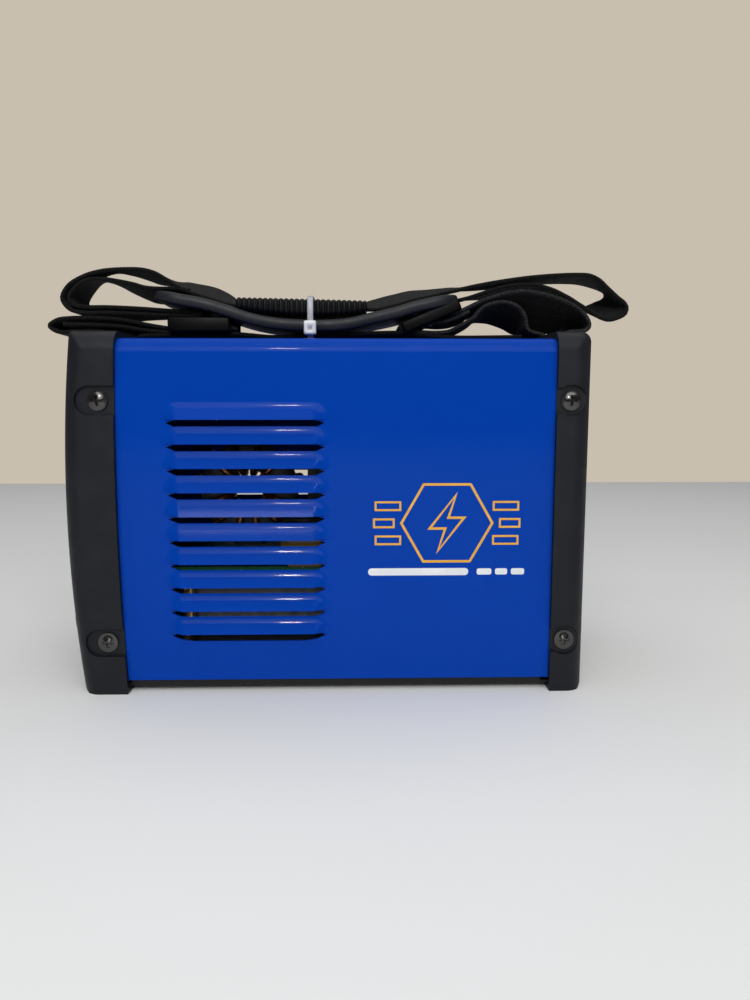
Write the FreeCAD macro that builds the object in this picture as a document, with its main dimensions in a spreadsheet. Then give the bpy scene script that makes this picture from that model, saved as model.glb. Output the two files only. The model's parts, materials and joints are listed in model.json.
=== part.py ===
import FreeCAD, Part
import math
import os

import Sketcher
from FreeCAD import Placement, Rotation, Vector

# A stick welding inverter in millimetres. +X runs from the front control panel to the rear fan panel, +Z is
# up, and the origin is on the floor under the middle of the case. Every sub-part is one object here.

DIMENSIONS = {
    # case
    "case_length": 207.0,
    "case_width": 100.0,
    "case_height": 147.0,
    "front_bow": 4.5,
    "bezel_wall": 2.6,
    "bezel_floor": 2.0,
    "bezel_rim": 8.0,
    "bezel_round": 7.5,
    "front_skirt": 19.0,
    "front_skirt_bow": 1.9,
    "rear_skirt": 14.45,
    "front_panel_face": -97.0,
    "rear_panel_face": 98.7,
    "sheet_steel": 1.0,
    "panel_steel": 1.5,
    "panel_top": 140.0,
    "cover_width": 94.4,
    "cover_top": 144.3,
    "cover_bottom": 5.1,
    "cover_bend": 5.5,
    "cover_end": 94.5,
    "pan_bottom": 2.2,
    "pan_steel": 1.2,
    "pan_flange": 14.0,
    # louvres
    "louvre_count": 10,
    "louvre_pitch": 9.66,
    "louvre_width": 67.4,
    "louvre_centre": -34.8,
    "louvre_lip": 112.2,
    "louvre_rise": 6.9,
    "louvre_reach": 3.6,
    "louvre_slot": 3.8,
    "louvre_slot_half": 31.6,
    "louvre_bend": 7.0,
    # side screws and their recesses
    "front_screw_line": -92.05,
    "rear_screw_line": 94.75,
    "upper_screw": 119.7,
    "lower_screw": 21.8,
    "screw_head": 4.0,
    "screw_shank": 2.0,
    "recess_depth": 1.8,
    "recess_radius": 5.8,
    # shoulder strap
    "webbing_width": 25.0,
    "webbing_thick": 2.0,
    "strap_bar": 3.0,
    "strap_slot": 2.8,
    "slot_width": 27.0,
    "front_bar_centre": -90.6,
    "rear_bar_centre": 94.35,
    "pad_width": 36.0,
    "pad_thick": 4.4,
    "grip_width": 31.0,
    "tie_centre": -9.0,
    "tie_width": 2.5,
    "slider_length": 25.0,
    "slider_width": 33.0,
    "slider_depth": 6.0,
    # front panel controls
    "knob_radius": 16.0,
    "knob_height": 78.0,
    "shaft_radius": 3.0,
    "running_gap": 0.05,
    "display_height": 113.0,
    "lamp_height": 97.0,
    "lamp_spacing": 36.0,
    "lamp_radius": 2.5,
    "socket_spacing": 48.0,
    "socket_height": 29.0,
    "socket_bore": 4.6,
    # inside
    "board_bottom": 50.0,
    "board_thick": 1.6,
    "board_length": 136.0,
    "board_width": 84.0,
    "standoff_x": 62.0,
    "standoff_y": 38.0,
    "sink_length": 56.0,
    "sink_width": 68.0,
    "sink_bottom": 4.2,
    "sink_top": 44.0,
    "sink_offset": 31.0,
    # rear panel
    "fan_size": 80.0,
    "fan_depth": 25.0,
    "fan_height": 92.0,
    "fan_opening": 37.5,
    "fan_screw_spacing": 71.5,
    "rear_control_height": 27.0,
    "switch_side": -24.0,
    "gland_side": 24.0,
    "gland_bore": 4.5,
    "rocker_tilt": 10.0,
}

doc = FreeCAD.newDocument("stick_welding_inverter")
dims = doc.addObject("Spreadsheet::Sheet", "dims")
for row, (alias, number) in enumerate(DIMENSIONS.items(), start=1):
    dims.set(f"A{row}", alias)
    dims.set(f"B{row}", str(number))
    dims.setAlias(f"B{row}", alias)
doc.recompute()


class Size:
    """A length as the formula that an object is bound to, with its present value."""

    def __init__(self, formula, number):
        self.formula = formula
        self.number = number

    def __add__(self, other):
        other = size(other)
        return Size(f"({self.formula} + {other.formula})", self.number + other.number)

    def __sub__(self, other):
        other = size(other)
        return Size(f"({self.formula} - {other.formula})", self.number - other.number)

    def __mul__(self, other):
        other = size(other)
        return Size(f"({self.formula} * {other.formula})", self.number * other.number)

    def __truediv__(self, other):
        other = size(other)
        return Size(f"({self.formula} / {other.formula})", self.number / other.number)

    def __neg__(self):
        return self * -1

    def __radd__(self, other):
        return size(other) + self

    def __rsub__(self, other):
        return size(other) - self

    def __rmul__(self, other):
        return size(other) * self


def size(value):
    """A number or a Size, as a Size."""
    return value if isinstance(value, Size) else Size(repr(float(value)), float(value))


def between(one, other):
    """Two lengths in rising order, as a span."""
    return tuple(sorted((size(one), size(other)), key=lambda length: length.number))


class Sheet:
    """The spreadsheet's cells as Size objects, one attribute for each alias."""

    def __init__(self):
        for name in DIMENSIONS:
            setattr(self, name, Size(f"dims.{name}", float(dims.get(name))))


d = Sheet()
half_width = d.case_width / 2
front_edge = -d.case_length / 2
rear_edge = d.case_length / 2
cover_side = d.cover_width / 2
cover_inside = cover_side - d.sheet_steel
sides = (-1, 1)


# ---------------------------------------------------------------- helpers

def bind(thing, prop, value):
    """Bind one property to the spreadsheet."""
    value = size(value)
    thing.setExpression(prop, value.formula)


def place(thing, x=0, y=0, z=0, turn=None):
    """Put an object at a point, turned by (axis, degrees)."""
    if turn:
        axis, degrees = turn
        thing.Placement = Placement(Vector(0, 0, 0), Rotation(Vector(*axis), degrees))
    for name, value in zip("xyz", (x, y, z)):
        bind(thing, f"Placement.Base.{name}", value)
    return thing


def box(name, x, y, z):
    """Part::Box from a (low, high) pair along each axis."""
    block = doc.addObject("Part::Box", name)
    for prop, (low, high) in zip(("Length", "Width", "Height"), (x, y, z)):
        bind(block, prop, size(high) - low)
    return place(block, x[0], y[0], z[0])


TURNS = {"x": ((0, 1, 0), 90), "y": ((1, 0, 0), -90), "z": None}


def along(axis, span, centre):
    """Point at the low end of a span along one axis, with the other two coordinates in XYZ order."""
    point = list(centre)
    point.insert("xyz".index(axis), span[0])
    return point


def rod(name, axis, radius, span, centre):
    """Part::Cylinder along an axis from span[0] to span[1]."""
    cylinder = doc.addObject("Part::Cylinder", name)
    bind(cylinder, "Radius", radius)
    bind(cylinder, "Height", size(span[1]) - span[0])
    return place(cylinder, *along(axis, span, centre), turn=TURNS[axis])


def ring(name, axis, radius, section, centre):
    """Part::Torus round an axis."""
    torus = doc.addObject("Part::Torus", name)
    bind(torus, "Radius1", radius)
    bind(torus, "Radius2", section)
    return place(torus, *centre, turn=TURNS[axis])


def cut(name, base, *tools):
    """Base with the tools taken away."""
    result = doc.addObject("Part::Cut", name)
    result.Base = base
    result.Tool = tools[0] if len(tools) == 1 else fuse(name + "_tools", *tools)
    return result


def fuse(name, *parts):
    """One solid of several touching ones."""
    result = doc.addObject("Part::MultiFuse", name)
    result.Shapes = list(parts)
    result.Refine = True
    return result


def group(name, *parts):
    """Several separate solids that share one node."""
    result = doc.addObject("Part::Compound", name)
    result.Links = list(parts)
    return result


def shaped(name, shape):
    """Part::Feature for a form that neither bodies nor primitives make."""
    feature = doc.addObject("Part::Feature", name)
    feature.Shape = shape
    return feature


def body(name):
    return doc.addObject("PartDesign::Body", name)


def origin_item(owner, role):
    """One of a body's own origin planes or axes."""
    return next(item for item in owner.Origin.OriginFeatures if item.Role == role)


def new_sketch(owner, plane, offset, shift=(0, 0)):
    """Sketch on a body's own origin plane, moved along the plane's normal and within it."""
    sketch = owner.newObject("Sketcher::SketchObject", owner.Name + "_sketch")
    sketch.AttachmentSupport = [(origin_item(owner, plane), "")]
    sketch.MapMode = "FlatFace"
    offset = -size(offset) if plane == "XZ_Plane" else offset
    for name, value in zip("xyz", (*shift, offset)):
        bind(sketch, f"AttachmentOffset.Base.{name}", value)
    return sketch


def arc_edge(start, finish, radius, side):
    """Arc between two points that bulges to the left (1) or right (-1) of the way it runs."""
    chord = finish - start
    sagitta = radius - math.sqrt(max(radius ** 2 - (chord.Length / 2) ** 2, 0.0))
    left = Vector(-chord.y, chord.x, 0).normalize()
    return Part.Arc(start, (start + finish) / 2 + left * sagitta * side, finish)


def outline(points, arcs=None):
    """Closed outline through points; arcs maps an edge's number to its (radius, side)."""
    arcs = arcs or {}

    def draw(sketch):
        spots = [Vector(size(x).number, size(y).number, 0) for x, y in points]
        edges = []
        for number, start in enumerate(spots):
            finish = spots[(number + 1) % len(spots)]
            if number in arcs:
                radius, side = arcs[number]
                index = sketch.addGeometry(arc_edge(start, finish, size(radius).number, side), False)
                bind_constraint(sketch, Sketcher.Constraint("Radius", index, size(radius).number), radius)
            else:
                index = sketch.addGeometry(Part.LineSegment(start, finish), False)
            ahead = sketch.getPoint(index, 1).distanceToPoint(start) < 1e-6
            edges.append((index, 1, 2) if ahead else (index, 2, 1))
        for number, (index, first, last) in enumerate(edges):
            after, after_first, _ = edges[(number + 1) % len(edges)]
            sketch.addConstraint(Sketcher.Constraint("Coincident", index, last, after, after_first))
            x, y = points[number]
            place_point(sketch, index, first, x, y)

    return draw


def bind_constraint(sketch, constraint, value):
    """Add a driving constraint and bind it to the spreadsheet."""
    number = sketch.addConstraint(constraint)
    bind(sketch, f"Constraints[{number}]", value)


def place_point(sketch, index, end, x, y):
    """Fix one point of a sketch by its two coordinates."""
    for kind, value in (("DistanceX", x), ("DistanceY", y)):
        bind_constraint(sketch, Sketcher.Constraint(kind, index, end, size(value).number), value)


def rectangle(x, y):
    """Outline from a (low, high) pair along each sketch axis."""
    return outline([(x[0], y[0]), (x[1], y[0]), (x[1], y[1]), (x[0], y[1])])


def circle(x, y, radius):
    def draw(sketch):
        middle = Vector(size(x).number, size(y).number, 0)
        index = sketch.addGeometry(Part.Circle(middle, Vector(0, 0, 1), size(radius).number), False)
        bind_constraint(sketch, Sketcher.Constraint("Radius", index, size(radius).number), radius)
        place_point(sketch, index, 3, x, y)

    return draw


def extrude(kind, owner, plane, span, outlines, shift=(0, 0)):
    """Pad or Pocket from span[0] to span[1] along the plane's axis."""
    sketch = new_sketch(owner, plane, span[0], shift)
    for draw in outlines:
        draw(sketch)
    feature = owner.newObject("PartDesign::" + kind, f"{owner.Name}_{kind.lower()}")
    feature.Profile = sketch
    feature.Reversed = (plane == "XZ_Plane") == (kind == "Pad")
    bind(feature, "Length", size(span[1]) - span[0])
    return feature


def pad(owner, plane, span, *outlines, shift=(0, 0)):
    return extrude("Pad", owner, plane, span, outlines, shift)


def pocket(owner, plane, span, *outlines, shift=(0, 0)):
    """Pocket that has to take something away."""
    doc.recompute()
    before = owner.Shape.Volume
    feature = extrude("Pocket", owner, plane, span, outlines, shift)
    doc.recompute()
    if owner.Shape.Volume > before - 1e-3:
        raise RuntimeError(f"a pocket of {owner.Label} cuts nothing")
    return feature


SPIN = {"x": ("XZ_Plane", "H_Axis"), "y": ("XY_Plane", "V_Axis"), "z": ("XZ_Plane", "V_Axis")}


def revolve(owner, axis, points, arcs=None, kind="Revolution"):
    """Full Revolution or Groove about a body's own axis, from (along, radius) for x, else (radius, along)."""
    plane, line = SPIN[axis]
    sketch = new_sketch(owner, plane, 0)
    outline(points, arcs)(sketch)
    feature = owner.newObject("PartDesign::" + kind, f"{owner.Name}_{kind.lower()}")
    feature.Profile = sketch
    feature.ReferenceAxis = (sketch, [line])
    feature.Angle = 360
    return feature


def spun(name, axis, points, arcs=None):
    """Body made by one full revolution."""
    result = body(name)
    revolve(result, axis, points, arcs)
    return result


def dressed(kind, owner, amount, chosen):
    """Fillet or Chamfer on the edges that a test chooses."""
    doc.recompute()
    edges = owner.Tip.Shape.Edges
    names = [f"Edge{number}" for number, edge in enumerate(edges, start=1) if chosen(edge)]
    base = owner.Tip
    feature = owner.newObject("PartDesign::" + kind, f"{owner.Name}_{kind.lower()}")
    feature.Base = (base, names)
    bind(feature, "Radius" if kind == "Fillet" else "Size", amount)
    return feature


def straight(edge, axis):
    """Whether an edge is a line along one axis."""
    if edge.Curve.TypeId != "Part::GeomLine":
        return False
    return abs(abs(edge.Curve.Direction.dot(axis)) - 1) < 1e-6


def lies_at(edge, **spot):
    """Whether an edge's middle has the given coordinates."""
    middle = edge.CenterOfMass
    return all(abs(getattr(middle, name) - size(value).number) < 0.01 for name, value in spot.items())


def repeat(owner, originals, axis, length, count, backwards=False):
    """LinearPattern of features along a body's axis."""
    pattern = owner.newObject("PartDesign::LinearPattern", owner.Name + "_pattern")
    pattern.Originals = originals
    pattern.Direction = (origin_item(owner, axis), [""])
    pattern.Reversed = backwards
    bind(pattern, "Length", length)
    bind(pattern, "Occurrences", count)
    owner.Tip = pattern
    return pattern


def repeat_round(owner, originals, axis, count):
    """PolarPattern of features through a full turn about a body's axis."""
    pattern = owner.newObject("PartDesign::PolarPattern", owner.Name + "_pattern")
    pattern.Originals = originals
    pattern.Axis = (origin_item(owner, axis), [""])
    pattern.Angle = 360
    pattern.Occurrences = count
    owner.Tip = pattern
    return pattern


# a bend radius so wide that every corner is rounded as far as its straight runs allow
EASY_BEND = 1000.0


def bent_path(points, closed=False, radius=EASY_BEND):
    """Plane path of straight runs joined by tangent arcs, as ("line", a, b) and ("arc", centre, a, b)."""
    spots = [Vector(x, 0, z) for x, z in points]
    corners = range(len(spots)) if closed else range(1, len(spots) - 1)
    bends = {}
    for number in corners:
        before = spots[number - 1] - spots[number]
        after = spots[(number + 1) % len(spots)] - spots[number]
        turn = math.pi - before.getAngle(after)
        reach = min(0.45 * min(before.Length, after.Length), radius * math.tan(turn / 2))
        bend = reach / math.tan(turn / 2)
        start = spots[number] + before.normalize() * reach
        finish = spots[number] + after.normalize() * reach
        inward = (before + after).normalize()
        centre = spots[number] + inward * math.hypot(bend, reach)
        bends[number] = (centre, start, finish)
    pieces = []
    for number in range(len(spots) if closed else len(spots) - 1):
        start = bends[number][2] if number in bends else spots[number]
        after = (number + 1) % len(spots)
        finish = bends[after][1] if after in bends else spots[after]
        pieces.append(("line", start, finish))
        if after in bends:
            pieces.append(("arc", *bends[after]))
    return pieces


def offset_edges(pieces, distance):
    """Edges of a bent path moved sideways by a distance, to the left of the way it runs."""
    edges = []
    for piece in pieces:
        if piece[0] == "line":
            _, start, finish = piece
            way = (finish - start).normalize()
            side = Vector(-way.z, 0, way.x) * distance
            edges.append(Part.LineSegment(start + side, finish + side).toShape())
        else:
            _, centre, start, finish = piece
            spokes = [start - centre, finish - centre]
            middle = (spokes[0] + spokes[1]).normalize() * spokes[0].Length
            turn = spokes[0].cross(spokes[1]).y
            growth = 1 + distance * (1 if turn > 0 else -1) / spokes[0].Length
            ends = [centre + spoke * growth for spoke in (spokes[0], middle, spokes[1])]
            edges.append(Part.Arc(*ends).toShape())
    return edges


def ribbon(points, thick, width, closed=False, radius=EASY_BEND):
    """Solid band of webbing: a bent path given thickness in its plane, then width along Y."""
    pieces = bent_path(points, closed, radius)
    left = offset_edges(pieces, thick / 2)
    right = offset_edges(pieces, -thick / 2)
    if closed:
        wires = sorted((Part.Wire(left), Part.Wire(right)), key=lambda wire: wire.BoundBox.DiagonalLength)
        faces = Part.Face(wires[1]).cut(Part.Face(wires[0]))
    else:
        caps = [Part.LineSegment(a, b).toShape() for a, b in (
            (left[0].valueAt(left[0].FirstParameter), right[0].valueAt(right[0].FirstParameter)),
            (left[-1].valueAt(left[-1].LastParameter), right[-1].valueAt(right[-1].LastParameter)))]
        faces = Part.Face(Part.Wire(Part.__sortEdges__(left + right + caps)))
    band = faces.extrude(Vector(0, width, 0))
    band.translate(Vector(0, -width / 2, 0))
    return band.Solids[0] if band.Solids else band


def arch(half, low, high, radius):
    """Outline of an upright opening or panel with two rounded top corners."""
    shoulder = size(high) - radius
    points = [(-size(half), low), (half, low), (half, shoulder), (size(half) - radius, high),
              (size(radius) - half, high), (-size(half), shoulder)]
    return outline(points, {2: (radius, -1), 4: (radius, -1)})


def bow_radius(bow):
    """Radius of an arc as tall as the case that bows out by a given amount."""
    return d.case_height * d.case_height / (8 * bow) + bow / 2


# ---------------------------------------------------------------- bezels

def bezel(name, profile, arcs, corner, corner_round, panel_face, out, skirt):
    """Moulded end frame: an outer block with a cavity for the cover and a window for the panel."""
    piece = body(name)
    pad(piece, "XZ_Plane", (-half_width, half_width), outline(profile, arcs))
    across = Vector(0, 1, 0)
    dressed("Fillet", piece, corner_round,
            lambda e: straight(e, across) and lies_at(e, x=corner, z=d.case_height))
    dressed("Chamfer", piece, 2.5, lambda e: straight(e, across) and lies_at(e, x=corner, z=0))
    long_way = Vector(1, 0, 0)
    dressed("Fillet", piece, d.bezel_round,
            lambda e: straight(e, long_way) and lies_at(e, z=d.case_height) and e.Length > 3)
    cavity = arch(half_width - d.bezel_wall, d.bezel_floor, d.cover_top + 0.2, d.cover_bend)
    window = arch(half_width - d.bezel_rim, d.bezel_rim, d.case_height - d.bezel_rim, d.bezel_round)
    inside = skirt - 6 * out
    outside = corner + 8 * out
    pocket(piece, "YZ_Plane", between(panel_face, inside), cavity)
    pocket(piece, "YZ_Plane", between(panel_face, outside), window)
    return piece


def screw_recesses(piece, screw_line, round_centre, radius, half_height, skirt):
    """Sunk landings and clearance holes for the four side screws of one bezel."""
    heights = (d.upper_screw, d.lower_screw)
    span_x = between(size(round_centre), size(skirt))
    for side in sides:
        face = half_width * side
        floor = face - d.recess_depth * side
        span = between(floor, face + side)
        pocket(piece, "XZ_Plane", span, *[circle(round_centre, z, radius) for z in heights])
        pocket(piece, "XZ_Plane", span,
               *[rectangle(span_x, (z - half_height, z + half_height)) for z in heights])
    through = (-half_width - 1, half_width + 1)
    pocket(piece, "XZ_Plane", through, *[circle(screw_line, z, d.screw_shank + 0.2) for z in heights])


def strap_slots(piece, bar_centre):
    """Two slots through the top wall with a bar between them for the webbing to pass under."""
    slots = []
    for way in sides:
        near = bar_centre + d.strap_bar / 2 * way
        far = near + d.strap_slot * way
        span = between(near, far)
        slots.append(rectangle(span, (-d.slot_width / 2, d.slot_width / 2)))
    pocket(piece, "XY_Plane", (d.cover_top - 0.5, d.case_height + 1), *slots)


front_skirt_edge = front_edge + d.front_skirt
rear_skirt_edge = rear_edge - d.rear_skirt
front_profile = [(front_edge, 0), (front_edge, d.case_height), (front_skirt_edge, d.case_height),
                 (front_skirt_edge, 0)]
front_bezel = bezel("front_bezel", front_profile,
                    {0: (bow_radius(d.front_bow), 1), 2: (bow_radius(d.front_skirt_bow), -1)},
                    front_edge, 1.5, d.front_panel_face, -1, front_skirt_edge)
screw_recesses(
    front_bezel, d.front_screw_line, d.front_screw_line - 3.1, d.recess_radius, d.recess_radius,
    front_skirt_edge + 1)
strap_slots(front_bezel, d.front_bar_centre)

rear_profile = [(rear_skirt_edge, 0), (rear_skirt_edge, d.case_height), (rear_edge, d.case_height),
                (rear_edge, 0)]
rear_bezel = bezel("rear_bezel", rear_profile, {}, rear_edge, 4.0, d.rear_panel_face, 1, rear_skirt_edge)
screw_recesses(
    rear_bezel, d.rear_screw_line, d.rear_screw_line, d.recess_radius + 0.4, d.recess_radius - 0.8,
    rear_skirt_edge - 1)
strap_slots(rear_bezel, d.rear_bar_centre)


# ---------------------------------------------------------------- sheet metal

cover = body("cover")
pad(cover, "YZ_Plane", (-d.cover_end, d.cover_end),
    arch(cover_side, d.cover_bottom, d.cover_top, d.cover_bend))
pocket(cover, "YZ_Plane", (-d.cover_end - 1, d.cover_end + 1),
       arch(cover_inside, d.cover_bottom - 1, d.cover_top - d.sheet_steel, d.cover_bend - d.sheet_steel))
notch = (-d.slot_width / 2 - 1.5, d.slot_width / 2 + 1.5)
pocket(cover, "XY_Plane", (d.cover_top - 3, d.cover_top + 1),
       rectangle((-d.cover_end - 1, d.front_bar_centre + d.strap_bar / 2 + d.strap_slot + 0.4), notch),
       rectangle((d.rear_bar_centre - d.strap_bar / 2 - d.strap_slot - 0.4, d.cover_end + 1), notch))
cover_holes = [circle(x, z, d.screw_shank + 0.2) for x in (d.front_screw_line, d.rear_screw_line)
               for z in (d.upper_screw, d.lower_screw)]
# the rear screw line runs past the cover's end, so that end carries half-round notches
pocket(cover, "XZ_Plane", (-half_width, half_width), *cover_holes[:2])
pocket(cover, "XZ_Plane", (-half_width, half_width), *cover_holes[2:])

louvre_half = d.louvre_width / 2 - d.louvre_rise


def hood_section(side):
    """Section of a hood: a straight slope up from the lip that runs out into the wall through a soft bend."""
    back = (cover_side - d.sheet_steel / 2) * side
    lip = (cover_side + d.louvre_reach) * side
    bend = (cover_side + d.louvre_reach * 0.24) * side
    return outline([(back, 0), (lip, 0), (bend, d.louvre_rise * 0.58), (cover_side * side, d.louvre_rise),
                    (back, d.louvre_rise)], {2: (d.louvre_bend, side)})


def hollow_section(side):
    """Section of the hollow under a hood, one thickness of sheet in from its slope."""
    back = (cover_inside - 0.05) * side
    lip = (cover_side + d.louvre_reach - d.sheet_steel * 1.25) * side
    return outline([(back, 0), (lip, 0), (back, d.louvre_rise - d.sheet_steel * 1.9)])


def louvre_slot(side):
    """Slot under a lip: long and low, narrowing in two steps to a tip at each end."""
    tip, low, lip = d.louvre_slot_half, d.louvre_slot, 0.05
    half = [(tip, low * -0.36), (tip - 3.4, low * -0.08), (tip - 8.0, lip)]
    under = [(tip - 9.0, -low), (tip - 3.6, low * -0.78)]
    edge = half + [(-x, z) for x, z in reversed(half)] + [(-x, z) for x, z in reversed(under)] + under
    return outline([(d.louvre_centre + x, d.louvre_lip + z) for x, z in edge])


def louvre_row(side):
    """Pressed hoods on one wall, each a straight middle with two round ends, hollowed and slotted."""
    features = []
    left = d.louvre_centre - louvre_half
    right = d.louvre_centre + louvre_half
    for section, straight_kind, round_kind in ((hood_section, "Pad", "Revolution"),
                                               (hollow_section, "Pocket", "Groove")):
        middle = extrude(
            straight_kind, cover, "YZ_Plane", (left, right), [section(side)], shift=(0, d.louvre_lip))
        middle.Reversed = straight_kind == "Pocket"
        features.append(middle)
        for x, way in ((left, 1), (right, -1)):
            sketch = new_sketch(cover, "YZ_Plane", x, shift=(0, d.louvre_lip))
            section(side)(sketch)
            end = cover.newObject("PartDesign::" + round_kind, "louvre_end")
            end.Profile = sketch
            end.ReferenceAxis = (sketch, ["H_Axis"])
            end.Angle = 90
            end.Reversed = way == 1
            features.append(end)
    face = cover_side * side
    features.append(extrude("Pocket", cover, "XZ_Plane", between(face - 2 * side, face + side * 0.02),
                            [louvre_slot(side)]))
    repeat(
        cover, features, "Z_Axis", d.louvre_pitch * (d.louvre_count - 1), d.louvre_count,
        backwards=True)


for side in sides:
    louvre_row(side)
base_pan = body("base_pan")
pan_top = d.pan_bottom + d.pan_steel
pan_side = cover_inside - 0.1
pad(base_pan, "XY_Plane", (d.pan_bottom, pan_top), rectangle((-95, 96.5), (-pan_side, pan_side)))
for side in sides:
    span_y = between(pan_side * side, (pan_side - d.pan_steel) * side)
    pad(base_pan, "XZ_Plane", span_y,
        rectangle((front_skirt_edge + 0.5, rear_skirt_edge - 3.0), (d.pan_bottom, d.pan_flange)))
base_screw_spots = [(x, y) for x in (-80, 79) for y in (-28, 28)]
board_spots = [(d.standoff_x * i, d.standoff_y * j) for i in sides for j in sides]
pocket(base_pan, "XY_Plane", (0, 10), *[circle(x, y, 1.8) for x, y in base_screw_spots],
       *[circle(x, y, 1.6) for x, y in board_spots])
pocket(base_pan, "XY_Plane", (0, 10), circle(0, 0, 2.0), *[
    rectangle((x - 9, x + 9), (y - 1.2, y + 1.2)) for x in (-30, 0, 30) for y in (-20, -10, 10, 20)])


def panel(name, face, inward, flange_end, bottom_end):
    """Folded steel end panel: a face plate, two flanges for side screws and a foot for base screws."""
    piece = body(name)
    half = cover_inside - 0.2
    inner = face + d.panel_steel * inward
    pad(piece, "YZ_Plane", between(face, inner), rectangle((-half, half), (3.5, d.panel_top)))
    for side in sides:
        wall = between(half * side, (half - d.panel_steel) * side)
        pad(piece, "YZ_Plane", between(face, size(flange_end)), rectangle(wall, (15.0, 132.0)))
    pad(piece, "YZ_Plane", between(face, size(bottom_end)), rectangle((-38, 38), (3.5, 5.0)))
    line = d.front_screw_line if inward > 0 else d.rear_screw_line
    pocket(piece, "XZ_Plane", (-half_width, half_width),
           *[circle(line, z, d.screw_shank) for z in (d.upper_screw, d.lower_screw)])
    x = base_screw_spots[0][0] if inward > 0 else base_screw_spots[2][0]
    pocket(piece, "XY_Plane", (2.0, 6.0), *[circle(x, y, 1.6) for y in (-28, 28)])
    return piece


socket_spots = [(d.socket_spacing / 2 * side, d.socket_height) for side in sides]
lamp_spots = [(d.lamp_spacing / 2 * side, d.lamp_height) for side in sides]
display_opening = ((-21, 21), (d.display_height - 9, d.display_height + 9))

front_panel = panel("front_panel", d.front_panel_face, 1, -86, -73)
front_slots = [rectangle((y - 1.5, y + 1.5), (48, 60)) for y in range(-36, 37, 8)]
front_cut = (d.front_panel_face - 1, d.front_panel_face + 3)
pocket(front_panel, "YZ_Plane", front_cut, *[circle(y, z, 10.7) for y, z in socket_spots])
pocket(front_panel, "YZ_Plane", front_cut, circle(0, d.knob_height, 4.6), rectangle(*display_opening),
       *[circle(y, z, d.lamp_radius + 0.1) for y, z in lamp_spots], *front_slots)

rear_panel = panel("rear_panel", d.rear_panel_face, -1, 86, 72)
rear_cut = (d.rear_panel_face - 3, d.rear_panel_face + 1)
fan_screw_spots = [(d.fan_screw_spacing / 2 * i, d.fan_height + d.fan_screw_spacing / 2 * j)
                   for i in sides for j in sides]
switch_opening = ((d.switch_side - 9.4, d.switch_side + 9.4),
                  (d.rear_control_height - 13.6, d.rear_control_height + 13.6))
pocket(rear_panel, "YZ_Plane", rear_cut, circle(0, d.fan_height, d.fan_opening),
       *[circle(y, z, 2.2) for y, z in fan_screw_spots])
pocket(rear_panel, "YZ_Plane", rear_cut, rectangle(*switch_opening),
       circle(d.gland_side, d.rear_control_height, 8.1), circle(2, 17, 3.1))

overlay_face = d.front_panel_face - 0.4
front_overlay = body("front_overlay")
pad(front_overlay, "YZ_Plane", (overlay_face, d.front_panel_face), arch(41.5, 62.5, 138.5, d.bezel_round))
pocket(front_overlay, "YZ_Plane", front_cut, circle(0, d.knob_height, 4.6), rectangle(*display_opening),
       *[circle(y, z, d.lamp_radius + 0.1) for y, z in lamp_spots])


# ---------------------------------------------------------------- fasteners

def pan_screw(name, head, head_height, shank, length):
    """Cross-recess pan-head screw along +Y: the head's crown at the origin, the shank running inwards."""
    piece = body(name)
    rim = head_height * 0.6
    crown = (rim * rim + head * head) / (2 * rim)
    revolve(piece, "y", [
        (0, 0), (0, length), (shank, length - 0.8), (shank, head_height), (head, head_height),
        (head, rim)], {5: (crown, -1)})
    arm = head * 0.55
    blade = head * 0.13
    cross = [
        (-arm, -blade), (-blade, -blade), (-blade, -arm), (blade, -arm), (blade, -blade), (arm, -blade),
        (arm, blade), (blade, blade), (blade, arm), (-blade, arm), (-blade, blade), (-arm, blade)]
    pocket(piece, "XZ_Plane", (-1, head_height * 0.75), outline(cross))
    return piece


screws = []
for side in sides:
    for x in (d.front_screw_line, d.rear_screw_line):
        for z in (d.upper_screw, d.lower_screw):
            screw = pan_screw(f"side_screw_{len(screws)}", d.screw_head, size(2.4), d.screw_shank,
                              size(8.5))
            landing = half_width - d.recess_depth + 2.4
            place(screw, x, landing * side, z, turn=((0, 0, 1), 180) if side > 0 else None)
            screws.append(screw)
side_screws = group("side_screws", *screws)

base_screws = group("base_screws", *[
    place(pan_screw(f"base_screw_{number}", size(3.0), size(1.4), size(1.6), size(8.0)),
          x, y, d.pan_bottom - 1.4, turn=((1, 0, 0), 90))
    for number, (x, y) in enumerate(base_screw_spots)])

fan_screws = group("fan_screws", *[
    place(pan_screw(f"fan_screw_{number}", size(3.6), size(2.0), size(2.0), size(14.0)),
          d.rear_panel_face + 3.9, y, z, turn=((0, 0, 1), 90))
    for number, (y, z) in enumerate(fan_screw_spots)])


# ---------------------------------------------------------------- front panel parts

display_window = body("display_window")
pad(display_window, "YZ_Plane", (overlay_face - 0.6, d.front_panel_face + 0.6),
    rectangle((-20.8, 20.8), (d.display_height - 8.8, d.display_height + 8.8)))
dressed("Fillet", display_window, 0.5, lambda e: lies_at(e, x=overlay_face - 0.6))

module_back = d.front_panel_face + 8.6
display_module = box("display_module", (d.front_panel_face + 0.8, module_back), (-19, 19),
                     (d.display_height - 7.5, d.display_height + 7.5))

board_face = module_back + 0.2
control_board = body("control_board")
pad(control_board, "YZ_Plane", (board_face, board_face + d.board_thick), rectangle((-40, 40), (66, 128)))
pocket(control_board, "YZ_Plane", (board_face - 1, board_face + 3), circle(0, d.knob_height, 3.6),
       *[circle(y, z, 1.6) for y in (-36, 36) for z in (70, 124)])

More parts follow.
